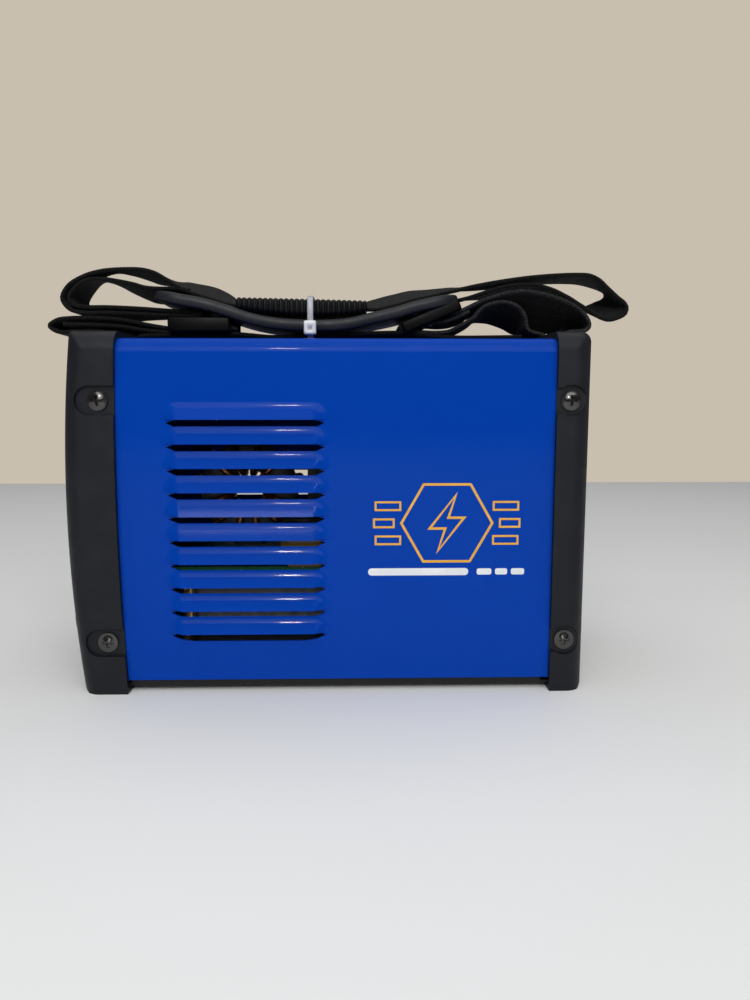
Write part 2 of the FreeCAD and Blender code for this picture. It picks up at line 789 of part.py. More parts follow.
lamp_back = board_face - d.front_panel_face - 0.1
lamps = []
for name, (y, z) in zip(("power_lamp", "warning_lamp"), lamp_spots):
    lamp = spun(name, "x", [
        (-3.2, 0), (lamp_back, 0), (lamp_back, d.lamp_radius), (-1.7, d.lamp_radius),
        (-2.5, d.lamp_radius - 0.35), (-3.0, d.lamp_radius - 1.0), (-3.2, d.lamp_radius - 1.7)])
    lamps.append(place(lamp, d.front_panel_face, y, z))

potentiometer_body = spun("potentiometer_body", "x", [
    (-3.4, d.shaft_radius + d.running_gap), (-3.4, 4.4), (1.5, 4.4), (1.5, 8.5), (8.6, 8.5), (8.6, 3.4),
    (11.5, 3.4), (11.5, 0), (9.6, 0), (9.6, d.shaft_radius + d.running_gap)])
place(potentiometer_body, d.front_panel_face, 0, d.knob_height)
potentiometer_shaft = rod("potentiometer_shaft", "x", d.shaft_radius,
                          (d.front_panel_face - 16.0, d.front_panel_face + 9.4), (0, d.knob_height))

current_knob = body("current_knob")
knob_back = -4.2
knob_front = -19.0
revolve(current_knob, "x", [
    (knob_back, d.shaft_radius + 0.0), (knob_back, d.knob_radius), (knob_back - 2.6, d.knob_radius),
    (knob_back - 4.0, d.knob_radius - 2.4), (knob_front + 1.0, d.knob_radius - 3.4),
    (knob_front, d.knob_radius - 4.6), (knob_front, 8.0), (knob_front + 1.2, 8.0),
    (knob_front + 1.2, 0), (-16.0, 0), (-16.0, d.shaft_radius)])
flute = pocket(current_knob, "YZ_Plane", (knob_front - 1, knob_back - 4.0),
               circle(0, d.knob_radius - 1.9, 1.5))
repeat_round(current_knob, [flute], "X_Axis", 18)
place(current_knob, d.front_panel_face, 0, d.knob_height)

knob_cap = body("knob_cap")
revolve(knob_cap, "x", [
    (knob_front + 1.2, 0), (knob_front + 1.2, 7.9), (knob_front, 7.9), (knob_front - 0.5, 7.0),
    (knob_front - 0.5, 0)])
pocket(knob_cap, "YZ_Plane", (knob_front - 1, knob_front), rectangle((-0.6, 0.6), (1.5, 7.4)))
place(knob_cap, d.front_panel_face, 0, d.knob_height)


def socket_piece(name, points, arcs=None):
    """The same turned piece on both output sockets, as one node."""
    return group(name, *[place(spun(f"{name}_{number}", "x", points, arcs), d.front_panel_face, y, z)
                         for number, (y, z) in enumerate(socket_spots)])


insert_radius = 7.5
socket_bodies = socket_piece("socket_bodies", [
    (-11.5, 9.4), (-12.5, 10.4), (-12.5, 12.0), (-11.5, 13.0), (-5.0, 13.4), (-5.0, 15.0), (-4.0, 15.5),
    (0, 15.5), (0, 10.5), (14.0, 10.5), (14.0, insert_radius), (-3.0, insert_radius), (-3.0, 9.4)])
socket_inserts = socket_piece("socket_inserts", [
    (-3.0, d.socket_bore + 0.6), (-2.4, d.socket_bore), (17.0, d.socket_bore), (17.0, 0), (26.0, 0),
    (26.0, 4.0), (19.0, 4.0), (19.0, insert_radius), (-3.0, insert_radius)])
socket_nuts = socket_piece("socket_nuts", [
    (1.5, 10.5), (1.5, 15.0), (7.5, 15.0), (7.5, 10.5)])

bars = []
for number, (y, z) in enumerate(socket_spots):
    x = d.front_panel_face + 19.0
    foot = box(f"busbar_foot_{number}", (x, x + 2.0), (y - 6.5, y + 6.5), (z - 7, d.board_bottom - 2.0))
    top = box(f"busbar_top_{number}", (x, x + 16.0), (y - 6.5, y + 6.5),
              (d.board_bottom - 2.0, d.board_bottom))
    hole = rod(f"busbar_hole_{number}", "x", 4.1, (x - 1, x + 3), (y, z))
    bars.append(cut(f"busbar_{number}", fuse(f"busbar_blank_{number}", foot, top), hole))
busbars = group("busbars", *bars)


# ---------------------------------------------------------------- inside

half_board = d.board_length / 2
board_top = d.board_bottom + d.board_thick
main_board = body("main_board")
pad(main_board, "XY_Plane", (d.board_bottom, board_top),
    rectangle((-half_board, half_board), (-d.board_width / 2, d.board_width / 2)))
pocket(main_board, "XY_Plane", (d.board_bottom - 1, board_top + 1),
       *[circle(x, y, 1.7) for x, y in board_spots])

posts = []
board_bolts = []
for number, (x, y) in enumerate(board_spots):
    post = rod(f"post_{number}", "z", 3.5, (pan_top, d.board_bottom), (x, y))
    hole = rod(f"post_hole_{number}", "z", 1.6, (d.board_bottom - 8, d.board_bottom + 1), (x, y))
    posts.append(cut(f"standoff_{number}", post, hole))
    head = rod(f"bolt_head_{number}", "z", 3.0, (board_top, board_top + 2.0), (x, y))
    shank = rod(f"bolt_shank_{number}", "z", 1.5, (d.board_bottom - 6, board_top), (x, y))
    board_bolts.append(fuse(f"board_screw_{number}", head, shank))
board_standoffs = group("board_standoffs", *posts)
board_screws = group("board_screws", *board_bolts)

insulation_sheet = box("insulation_sheet", (-60, 60), (-34, 34), (pan_top, d.sink_bottom))


def heatsink(name, centre):
    """Extruded aluminium heatsink: a plate on top with fins that hang down along the air stream."""
    piece = body(name)
    low = centre - d.sink_length / 2
    high = centre + d.sink_length / 2
    edge = d.sink_width / 2
    pad(piece, "YZ_Plane", (low, high), rectangle((-edge, edge), (d.sink_top - 6, d.sink_top)))
    fin = pad(piece, "YZ_Plane", (low, high),
              rectangle((-edge, -edge + 1.8), (d.sink_bottom, d.sink_top - 6)))
    repeat(piece, [fin], "Y_Axis", d.sink_width - 1.8, 13)
    return piece


front_heatsink = heatsink("front_heatsink", -d.sink_offset)
rear_heatsink = heatsink("rear_heatsink", d.sink_offset)


def power_package(name, x, y, long, wide):
    """Moulded power device lying on a heatsink, with its legs bent up to the board."""
    case = box(f"{name}_case", (x, x + long), (y - wide / 2, y + wide / 2),
               (d.sink_top, d.sink_top + 4.8))
    legs = []
    for number in range(3):
        leg_y = y + (number - 1) * wide / 3
        leg = box(f"{name}_leg_{number}", (x - 3, x), (leg_y - 0.6, leg_y + 0.6),
                  (d.sink_top + 2, d.sink_top + 2.8))
        rise = box(f"{name}_rise_{number}", (x - 3, x - 2.2), (leg_y - 0.6, leg_y + 0.6),
                   (d.sink_top + 2, d.board_bottom))
        legs.extend((leg, rise))
    return fuse(name, case, *legs)


switching_transistors = group("switching_transistors", *[
    power_package(f"transistor_{number}", d.sink_offset - 4, y, 20, 15)
    for number, y in enumerate((-27, -9, 9, 27))])
output_diodes = group("output_diodes", *[
    power_package(f"diode_{number}", -d.sink_offset - 8, y, 20, 15) for number, y in enumerate((-22, 0, 22))])
bridge_rectifier = power_package("bridge_rectifier", d.sink_offset - 24, 0, 14, 30)

can_profile = [
    (0, 0), (12.6, 0), (12.9, 2.5), (12.4, 3.2), (12.9, 4.0), (12.9, 39.5), (12.2, 40.4), (10.6, 40.4),
    (10.2, 39.8), (0, 39.8)]
bulk_capacitors = group("bulk_capacitors", *[
    place(spun(f"capacitor_{number}", "z", can_profile), 48, y, board_top)
    for number, y in enumerate((-27.5, 0, 27.5))])

core_outer = box("core_outer", (-12, 28), (-19, 19), (board_top + 2, board_top + 44))
core_windows = [box(f"core_window_{number}", (low, low + 9), (-20, 20), (board_top + 11, board_top + 35))
                for number, low in enumerate((-3.5, 10.5))]
transformer_core = cut("transformer_core", core_outer, *core_windows)
transformer_winding = body("transformer_winding")
pad(transformer_winding, "XY_Plane", (board_top + 11.3, board_top + 34.7),
    rectangle((-2.9, 18.9), (-26.5, 26.5)))
dressed("Fillet", transformer_winding, 5.0, lambda e: straight(e, Vector(0, 0, 1)))
pocket(transformer_winding, "XY_Plane", (board_top + 10, board_top + 36),
       rectangle((5.3, 10.7), (-19.3, 19.3)))

choke_x = -40.0
choke_z = board_top + 27.0
choke_core = ring("choke_core", "y", 16.0, 6.6, (choke_x, 0, choke_z))
turns = []
for number in range(12):
    angle = 2 * math.pi * (number + 0.5) / 12
    turn = doc.addObject("Part::Torus", f"choke_turn_{number}")
    turn.Radius1 = 8.3
    turn.Radius2 = 1.5
    turn.Placement = Placement(
        Vector(choke_x + 16.0 * math.cos(angle), 0, choke_z.number + 16.0 * math.sin(angle)),
        Rotation(Vector(0, 1, 0), -math.degrees(angle)))
    turns.append(turn)
choke_winding = group("choke_winding", *turns)

relay_case = box("relay_case", (-24, -4), (26, 41), (board_top + 0.6, board_top + 15))
relay_base = box("relay_base", (-24.4, -3.6), (25.6, 41.4), (board_top, board_top + 3))
soft_start_relay = fuse("soft_start_relay", relay_case, relay_base)
auxiliary_core = box("auxiliary_core", (-22, -2), (-41, -25), (board_top + 2, board_top + 17))
auxiliary_bobbin = box("auxiliary_bobbin", (-19, -5), (-43.5, -22.5), (board_top, board_top + 13))
auxiliary_transformer = fuse("auxiliary_transformer", auxiliary_core, auxiliary_bobbin)


# ---------------------------------------------------------------- fan

fan_back = d.rear_panel_face - d.panel_steel
fan_front = fan_back - d.fan_depth
fan_half = d.fan_size / 2
hub_radius = 17.0
fan_frame = body("fan_frame")
fan_x = (fan_front - fan_back, size(0))
square = rectangle((-fan_half, fan_half), (-fan_half, fan_half))
pad(fan_frame, "YZ_Plane", fan_x, square)
dressed("Fillet", fan_frame, 4.0, lambda e: straight(e, Vector(1, 0, 0)))
pocket(fan_frame, "YZ_Plane", (fan_front - fan_back - 1, 1), circle(0, 0, d.fan_opening + 0.5))
for y, way in ((-fan_half, -1), (fan_half, 1)):
    span = between(y - 8.0 * way, y + 1.0 * way)
    pocket(fan_frame, "YZ_Plane", (fan_front - fan_back + 4, -4), rectangle(span, (-24, 24)))
    pocket(fan_frame, "YZ_Plane", (fan_front - fan_back + 4, -4), rectangle((-24, 24), span))
screw_reach = d.fan_screw_spacing / 2
pocket(fan_frame, "YZ_Plane", (fan_front - fan_back - 1, 1),
       *[circle(screw_reach * i, screw_reach * j, 2.1) for i in sides for j in sides])
pad(fan_frame, "YZ_Plane", (fan_front - fan_back, fan_front - fan_back + 3.0), circle(0, 0, hub_radius))
strut = pad(fan_frame, "YZ_Plane", (fan_front - fan_back, fan_front - fan_back + 3.0),
            rectangle((hub_radius - 2, d.fan_opening + 1.5), (-2.0, 2.0)))
repeat_round(fan_frame, [strut], "X_Axis", 4)
pad(fan_frame, "YZ_Plane", (fan_front - fan_back + 3.0, fan_front - fan_back + 16.0), circle(0, 0, 4.0))
pocket(fan_frame, "YZ_Plane", (fan_front - fan_back + 2.0, fan_front - fan_back + 17.0),
       circle(0, 0, 1.5 + d.running_gap))
place(fan_frame, fan_back, 0, d.fan_height)

fan_shaft = rod("fan_shaft", "x", 1.5, (fan_front + 2.4, fan_back - 5.0), (0, d.fan_height))

fan_stator = body("fan_stator")
pad(fan_stator, "YZ_Plane", (fan_front + 5.0, fan_front + 14.0), circle(0, 0, 6.5))
pole = pad(fan_stator, "YZ_Plane", (fan_front + 6.0, fan_front + 13.0),
           rectangle((6.0, 12.6), (-3.4, 3.4)))
repeat_round(fan_stator, [pole], "X_Axis", 4)
pocket(fan_stator, "YZ_Plane", (fan_front + 4.0, fan_front + 15.0), circle(0, 0, 4.0))
place(fan_stator, 0, 0, d.fan_height)

rotor_back = d.fan_depth - 3.5
rotor_hub = spun("rotor_hub", "x", [
    (4.2, 14.0), (4.2, hub_radius), (rotor_back - 1.5, hub_radius), (rotor_back, hub_radius - 1.5),
    (rotor_back, 1.5), (rotor_back - 3.5, 1.5), (rotor_back - 3.5, 14.0)])
place(rotor_hub, fan_front, 0, d.fan_height)


def blade_section(radius, depth, lean, thick):
    """Flat section of a fan blade at one radius: a thin strip that slants across the depth of the fan."""
    sweep = depth * math.tan(lean) / 2
    across = thick / math.cos(lean)
    spots = [(-depth / 2, -sweep - across), (depth / 2, sweep - across),
             (depth / 2, sweep + across), (-depth / 2, across - sweep)]
    points = [Vector(x, y, radius) for x, y in spots]
    return Part.makePolygon(points + points[:1])


def fan_blades(count, root, tip, depth):
    """Separate twisted blades, steep at the hub and flatter at the tip."""
    sections = [blade_section(root, depth, math.radians(38), 0.7),
                blade_section(tip, depth, math.radians(55), 0.5)]
    blades = []
    for number in range(count):
        blade = Part.makeLoft(sections, True, True)
        blade.rotate(Vector(0, 0, 0), Vector(1, 0, 0), 360 * number / count)
        blades.append(blade)
    return Part.makeCompound(blades)


rotor_blades = shaped("rotor_blades", fan_blades(7, hub_radius - 2.3, d.fan_opening.number - 3.2, 14.0))
place(rotor_blades, fan_front + 12.4, 0, d.fan_height)
fan_rotor = fuse("fan_rotor", rotor_hub, rotor_blades)

guard_plane = d.rear_panel_face + 1.1
guard_rings = [ring(f"guard_ring_{number}", "x", radius, 0.9, (guard_plane + 1.4, 0, d.fan_height))
               for number, radius in enumerate((9.0, 16.0, 23.0, 30.0, 36.5))]
guard_spokes = []
for number, angle in enumerate((45, 135, 225, 315)):
    spoke = doc.addObject("Part::Cylinder", f"guard_spoke_{number}")
    spoke.Radius = 0.9
    spoke.Height = 40.0
    reach = Vector(0, math.cos(math.radians(angle)), math.sin(math.radians(angle)))
    spoke.Placement = Placement(Vector(0, 0, 0), Rotation(Vector(0, 0, 1), reach))
    bind(spoke, "Placement.Base.x", guard_plane)
    bind(spoke, "Placement.Base.y", size(reach.y * 7.0))
    bind(spoke, "Placement.Base.z", d.fan_height + reach.z * 7.0)
    guard_spokes.append(spoke)
guard_eyes = [ring(f"guard_eye_{number}", "x", 3.4, 0.9, (d.rear_panel_face + 0.95, y, z))
              for number, (y, z) in enumerate(fan_screw_spots)]
fan_guard = fuse("fan_guard", *guard_rings, *guard_spokes, *guard_eyes)


# ---------------------------------------------------------------- power switch, gland and earth stud

pivot_x = d.rear_panel_face - 1.0
switch_housing = body("switch_housing")
pad(switch_housing, "YZ_Plane", (1.0, 3.0), rectangle((-10.5, 10.5), (-15.5, 15.5)))
dressed("Fillet", switch_housing, 0.8, lambda e: lies_at(e, x=3.0))
pad(switch_housing, "YZ_Plane", (-17.0, 1.0), rectangle((-9.3, 9.3), (-13.5, 13.5)))
pocket(switch_housing, "YZ_Plane", (-9.0, 4.0), rectangle((-7.9, 7.9), (-12.0, 12.0)))
pocket(switch_housing, "XZ_Plane", (-8.9, 8.9), circle(0, 0, 1.5 + d.running_gap))
place(switch_housing, pivot_x, d.switch_side, d.rear_control_height)

switch_rocker = body("switch_rocker")
pad(switch_rocker, "XZ_Plane", (-7.6, 7.6), outline([
    (4.6, 0), (6.0, 10.6), (-1.0, 10.6), (-6.5, 3.0), (-6.5, -3.0), (-1.0, -10.6), (6.0, -10.6)]))
dressed("Fillet", switch_rocker, 0.7, lambda e: e.CenterOfMass.x > 5.0)
pad(switch_rocker, "XZ_Plane", (-8.8, 8.8), circle(0, 0, 1.5))
place(switch_rocker, pivot_x, d.switch_side, d.rear_control_height,
      turn=((0, 1, 0), -d.rocker_tilt.number))

terminal_spots = [(d.switch_side + y, d.rear_control_height + z) for y in (-5, 5) for z in (-7, 7)]
switch_terminals = group("switch_terminals", *[
    box(f"terminal_{number}", (pivot_x - 25.0, pivot_x - 17.0), (y - 0.4, y + 0.4), (z - 3.1, z + 3.1))
    for number, (y, z) in enumerate(terminal_spots)])

gland_body = spun("gland_body", "x", [
    (-7.0, 5.6), (-7.0, 7.9), (0, 7.9), (0, 12.0), (0.8, 12.5), (4.2, 12.5), (5.0, 12.0), (5.0, 7.5),
    (12.0, 7.5), (12.0, 6.4), (5.6, 6.4), (5.6, 5.6)])
gland_seal = spun("gland_seal", "x",
                  [(5.8, d.gland_bore), (5.8, 6.2), (11.8, 6.2), (12.4, 5.7), (12.4, d.gland_bore)])
gland_nut = spun("gland_nut", "x", [
    (5.2, 7.7), (5.2, 11.0), (12.0, 11.0), (14.6, 8.2), (14.6, 5.4), (12.8, 5.4), (12.8, 7.7)])
gland_locknut = spun("gland_locknut", "x", [(-5.5, 8.0), (-5.5, 11.5), (-1.6, 11.5), (-1.6, 8.0)])
for piece in (gland_body, gland_seal, gland_nut, gland_locknut):
    place(piece, d.rear_panel_face, d.gland_side, d.rear_control_height)

earth_bolt = spun("earth_bolt", "x", [
    (-6.5, 0), (-6.5, 5.0), (-2.5, 5.0), (-2.5, 3.0), (5.6, 3.0), (5.6, 2.6), (6.3, 2.6), (6.3, 3.0),
    (12.5, 3.0), (13.0, 2.5), (13.0, 0)])
earth_nut = body("earth_nut")
hexagon = [(5.8 * math.cos(math.radians(60 * i)), 5.8 * math.sin(math.radians(60 * i))) for i in range(6)]
pad(earth_nut, "YZ_Plane", (1.0, 5.5), outline(hexagon))
pocket(earth_nut, "YZ_Plane", (0, 6.5), circle(0, 0, 3.05))
earth_washer = spun("earth_washer", "x", [(0, 3.2), (0, 6.2), (1.0, 6.2), (1.0, 3.2)])
for piece in (earth_bolt, earth_nut, earth_washer):
    place(piece, d.rear_panel_face, 2, 17)
earth_stud = group("earth_stud", earth_bolt, earth_nut, earth_washer)


# ---------------------------------------------------------------- shoulder strap

thick = d.webbing_thick.number
wide = d.webbing_width.number
case_top = d.case_height.number
deck = case_top + 0.6 + thick / 2
under_bar = d.cover_top.number - 1.4
near_slot = d.strap_bar.number / 2 + d.strap_slot.number / 2


def bar_loop(centre, way):
    """Webbing route down through a bezel's outer slot, under its bar and up through the inner one."""
    return [(centre.number + near_slot * way, under_bar), (centre.number - near_slot * way, under_bar)]


# the long strap, from the pad's front tip round the front loop twice, over the pad and round the rear curl
main_route = [
    (-79.6, 167.6), (-92.0, 171.0), (-100.5, 172.2), (-108.6, 168.8), (-109.0, 161.6), (-101.0, 159.1),
    (-59.0, 159.0), (-59.0, 156.6), (-107.5, 156.6), (-116.0, 159.8), (-117.0, 168.5), (-108.0, 175.0),
    (-92.0, 176.6), (-78.0, 172.8), (-64.0, 168.9), (-50.0, 166.6), (-37.0, 162.8), (-24.0, 160.5),
    (3.0, 160.3), (15.0, 161.6), (30.0, 165.4), (54.0, 168.9), (85.0, 171.8), (106.0, 173.2),
    (117.5, 170.6), (126.8, 162.5), (125.8, 155.0), (118.0, 155.4), (108.0, 162.2), (96.0, 166.4),
    (80.0, 167.3), (66.0, 165.9), (57.5, 163.9)]

# the front end strap: out of its slider, round the lower fold, through the bezel and back under the bundle
front_route = [
    (-48.0, 150.8), (-74.0, 150.8), (-90.0, 153.0), (-106.0, 154.0), (-124.6, 154.4), (-124.6, deck),
    (d.front_bar_centre.number - near_slot, deck), *bar_loop(d.front_bar_centre, -1),
    (d.front_bar_centre.number + near_slot, deck), (-60.0, 147.6), (-9.0, 147.1), (50.0, 147.5),
    (82.0, deck)]

# the rear end strap, from under its slider over the arch, through the bezel and round the rear fold
rear_route = [
    (35.0, 150.5), (49.0, 150.4), (57.0, 151.8), (66.0, 159.6), (75.0, 161.9), (84.0, 159.2),
    (86.0, deck + 1.8), (d.rear_bar_centre.number - near_slot, deck), *bar_loop(d.rear_bar_centre, -1),
    (d.rear_bar_centre.number + near_slot, deck), (111.0, deck + 0.2), (111.4, 156.0), (98.0, 156.8),
    (88.0, 162.6), (75.0, 164.5), (63.0, 161.3), (56.0, 157.6), (51.5, 156.4), (46.0, 157.3),
    (41.5, 158.7), (37.0, 156.5)]

main_strap = shaped("main_strap", ribbon(main_route, thick, wide))
front_anchor_strap = shaped("front_anchor_strap", ribbon(front_route, thick, wide))
rear_anchor_strap = shaped("rear_anchor_strap", ribbon(rear_route, thick, wide))

pad_route = [(-78.3, 166.8), (-56.0, 162.3), (-35.0, 156.0), (-11.0, 151.9), (13.0, 155.2), (33.0, 160.6),
             (47.0, 163.6)]
shoulder_pad = shaped("shoulder_pad", ribbon(pad_route, d.pad_thick.number, d.pad_width.number))

grip_left, grip_right = -37.0, 15.0
grip_outline = outline([(grip_left, 160.4), (grip_right, 159.4), (grip_right, 163.9), (grip_left, 164.9)],
                       {0: (74.0, -1)})
grip_block = body("grip_block")
pad(grip_block, "XZ_Plane", (-d.grip_width / 2, d.grip_width / 2), grip_outline)
grip_channel = shaped("grip_channel", ribbon(main_route, thick + 0.6, wide + 0.6))
grip_sleeve = cut("grip_sleeve", grip_block, grip_channel)

tie_route = [(-19.0, 145.0), (19.0, 145.0), (19.2, 155.0), (17.4, 163.0), (15.4, 165.4), (-15.4, 165.4),
             (-17.4, 163.0), (-19.2, 155.0)]
tie_band = ribbon(tie_route, 1.0, d.tie_width.number, closed=True, radius=1.2)
tie_band.rotate(Vector(0, 0, 0), Vector(0, 0, 1), 90)
tie_loop = shaped("tie_loop", tie_band)
place(tie_loop, d.tie_centre, 0, 0)
tie_head = box("tie_head", (d.tie_centre - 2.6, d.tie_centre + 2.6), (-23.0, -19.2), (149.0, 154.8))
cable_tie = fuse("cable_tie", tie_loop, tie_head)


def slider(name, x, z, tilt):
    """Three-bar strap slider: two side rails with bars between them for the webbing to thread over."""
    piece = body(name)
    half = d.slider_length / 2
    for side in sides:
        rail = between(d.slider_width / 2 * side, (d.slider_width / 2 - 3.4) * side)
        pad(piece, "XZ_Plane", rail, rectangle((-half, half), (-d.slider_depth / 2, d.slider_depth / 2)))
        if side < 0:
            pad(piece, "XZ_Plane", (-d.slider_width / 2, d.slider_width / 2),
                *[circle(reach, 0, 1.5) for reach in (-half + 1.8, size(0), half - 1.8)])
    return place(piece, x, 0, z, turn=((0, 1, 0), -tilt))


strap_sliders = group("strap_sliders", slider("front_slider", -58.0, 153.4, 0),
                      slider("rear_slider", 42.0, 155.4, 23))


# ---------------------------------------------------------------- check and write

SUB_PARTS = [
    front_bezel, rear_bezel, cover, base_pan, front_panel, rear_panel, front_overlay, side_screws,
    base_screws, display_window, display_module, control_board, potentiometer_body, potentiometer_shaft,
    current_knob, knob_cap, socket_bodies, socket_inserts, socket_nuts, busbars, main_board,
    board_standoffs, board_screws, insulation_sheet, front_heatsink, rear_heatsink,
    switching_transistors, output_diodes, bridge_rectifier, bulk_capacitors, transformer_core,
    transformer_winding, choke_core, choke_winding, soft_start_relay, auxiliary_transformer, fan_frame,
    fan_shaft, fan_stator, fan_rotor, fan_guard, fan_screws, switch_housing, switch_rocker,
    switch_terminals, gland_body, gland_seal, gland_nut, gland_locknut, earth_stud, main_strap,
    front_anchor_strap, rear_anchor_strap, shoulder_pad, grip_sleeve, cable_tie, strap_sliders, *lamps]

doc.recompute()
failed = [thing.Name for thing in doc.Objects if "Invalid" in thing.State or "Error" in thing.State]
broken = [thing.Label for thing in SUB_PARTS if thing.Shape.isNull() or not thing.Shape.isValid()]
if failed or broken:
    raise RuntimeError(f"failed objects {failed}, broken shapes {broken}")

os.makedirs("parts", exist_ok=True)
for thing in SUB_PARTS:
    thing.Shape.exportStep(f"parts/{thing.Label}.step")
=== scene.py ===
"""Looks of the stick welding inverter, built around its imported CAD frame.

Blender's objects are in metres. Lengths in this file are in millimetres unless a note says metres, and MM
turns one into metres. X runs along the case, the camera looks along +Y, and Z is up.
"""

import math

import bmesh
import bpy
from mathutils import Matrix, Vector
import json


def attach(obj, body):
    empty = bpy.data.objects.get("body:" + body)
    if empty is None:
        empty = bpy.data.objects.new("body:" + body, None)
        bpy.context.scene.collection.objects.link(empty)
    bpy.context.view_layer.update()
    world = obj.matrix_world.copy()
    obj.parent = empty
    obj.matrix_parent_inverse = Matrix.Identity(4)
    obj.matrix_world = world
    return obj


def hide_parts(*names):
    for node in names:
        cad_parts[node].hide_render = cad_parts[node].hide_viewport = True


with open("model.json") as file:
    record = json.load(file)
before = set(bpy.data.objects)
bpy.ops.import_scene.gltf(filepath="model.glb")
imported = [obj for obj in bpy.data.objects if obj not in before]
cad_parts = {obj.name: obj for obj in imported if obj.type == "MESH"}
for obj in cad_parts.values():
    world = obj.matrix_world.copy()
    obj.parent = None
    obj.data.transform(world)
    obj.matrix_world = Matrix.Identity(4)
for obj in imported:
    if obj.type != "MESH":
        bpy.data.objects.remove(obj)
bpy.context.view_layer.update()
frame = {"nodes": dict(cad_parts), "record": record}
nodes = frame["nodes"]
scene = bpy.context.scene
MM = 0.001


# ---------------------------------------------------------------- camera, floor, backdrop and light

CAMERA_PLACE = (0.0097, -0.361, 0.121)  # metres
CAMERA_LENS = 28.24
CAMERA_TILT_DOWN = 7.47  # degrees
CAMERA_TURN = -1.3       # degrees; negative is to the right
FLOOR_REACH = (2.0, 2.0, 0.75)  # metres to each side, to the front and to the back
FLOOR_COLOUR, FLOOR_STAIN = (0.86, 0.87, 0.86), (0.78, 0.79, 0.78)
BACKDROP_COLOUR = (0.58, 0.52, 0.43, 1.0)
AMBIENT_COLOUR, AMBIENT_STRENGTH = (0.95, 0.97, 1.0, 1.0), 0.13


def add_camera():
    """Camera low in front of the long side, tilted down a little and turned slightly to the right."""
    data = bpy.data.cameras.new("camera")
    data.sensor_width = 36.0
    data.lens = CAMERA_LENS
    data.clip_start = 0.01
    camera = bpy.data.objects.new("camera", data)
    camera.location = CAMERA_PLACE
    camera.rotation_euler = (math.radians(90.0 - CAMERA_TILT_DOWN), 0.0, math.radians(CAMERA_TURN))
    scene.collection.objects.link(camera)
    scene.camera = camera


def add_area(name, place, target, size, power, colour=(1.0, 1.0, 1.0)):
    """Soft rectangular light that faces a target. Places and sizes are in metres, power in watts."""
    data = bpy.data.lights.new(name, "AREA")
    data.shape = "RECTANGLE"
    data.size, data.size_y = size
    data.energy = power
    data.color = colour
    light = bpy.data.objects.new(name, data)
    light.location = place
    light.rotation_euler = (Vector(target) - Vector(place)).to_track_quat("-Z", "Y").to_euler()
    scene.collection.objects.link(light)


def add_lights():
    """Broad light from above and in front, and a small and a thin one that draw glints on bent metal."""
    add_area("ceiling_light", (0.0, 0.15, 1.5), (0.0, 0.15, 0.0), (2.2, 1.6), 11.0, (1.0, 0.99, 0.97))
    add_area("front_light", (0.1, -1.5, 0.95), (0.0, 0.0, 0.08), (1.6, 1.0), 13.6)
    add_area("window_glint", (-0.11, -0.95, 0.62), (-0.04, -0.05, 0.08), (0.04, 0.08), 2.2)
    add_area("tube_light", (0.0, -0.65, 1.1), (0.0, 0.0, 0.1), (1.3, 0.035), 2.2)


def make_world():
    """Plain pale backdrop for the camera, and a much dimmer even light for everything else."""
    world = bpy.data.worlds.new("world")
    world.use_nodes = True
    tree = world.node_tree
    seen = next(n for n in tree.nodes if n.type == "BACKGROUND")
    seen.inputs["Color"].default_value = BACKDROP_COLOUR
    dim = tree.nodes.new("ShaderNodeBackground")
    dim.inputs["Color"].default_value = AMBIENT_COLOUR
    dim.inputs["Strength"].default_value = AMBIENT_STRENGTH
    path = tree.nodes.new("ShaderNodeLightPath")
    mix = tree.nodes.new("ShaderNodeMixShader")
    tree.links.new(path.outputs["Is Camera Ray"], mix.inputs[0])
    tree.links.new(dim.outputs[0], mix.inputs[1])
    tree.links.new(seen.outputs[0], mix.inputs[2])
    surface = next(n for n in tree.nodes if n.type == "OUTPUT_WORLD").inputs["Surface"]
    tree.links.new(mix.outputs[0], surface)
    scene.world = world


def make_floor():
    """Plain pale floor with faint clouds of shade and a little relief."""
    side, front, back = FLOOR_REACH
    corners = [(-side, -front, 0), (side, -front, 0), (side, back, 0), (-side, back, 0)]
    floor_mesh = bpy.data.meshes.new("floor")
    floor_mesh.from_pydata(corners, [], [(0, 1, 2, 3)])
    floor = bpy.data.objects.new("floor", floor_mesh)
    scene.collection.objects.link(floor)
    look = Shader("floor", FLOOR_COLOUR, 0.5, Specular_IOR_Level=0.2)
    look.tint(look.ramp(look.noise(3.0, 5.0), 0.4, 0.7, 0.0, 0.2), FLOOR_STAIN)
    look.bump(look.noise(300, 3.0), 0.05)
    floor_mesh.materials.append(look.made)


# ---------------------------------------------------------------- node materials

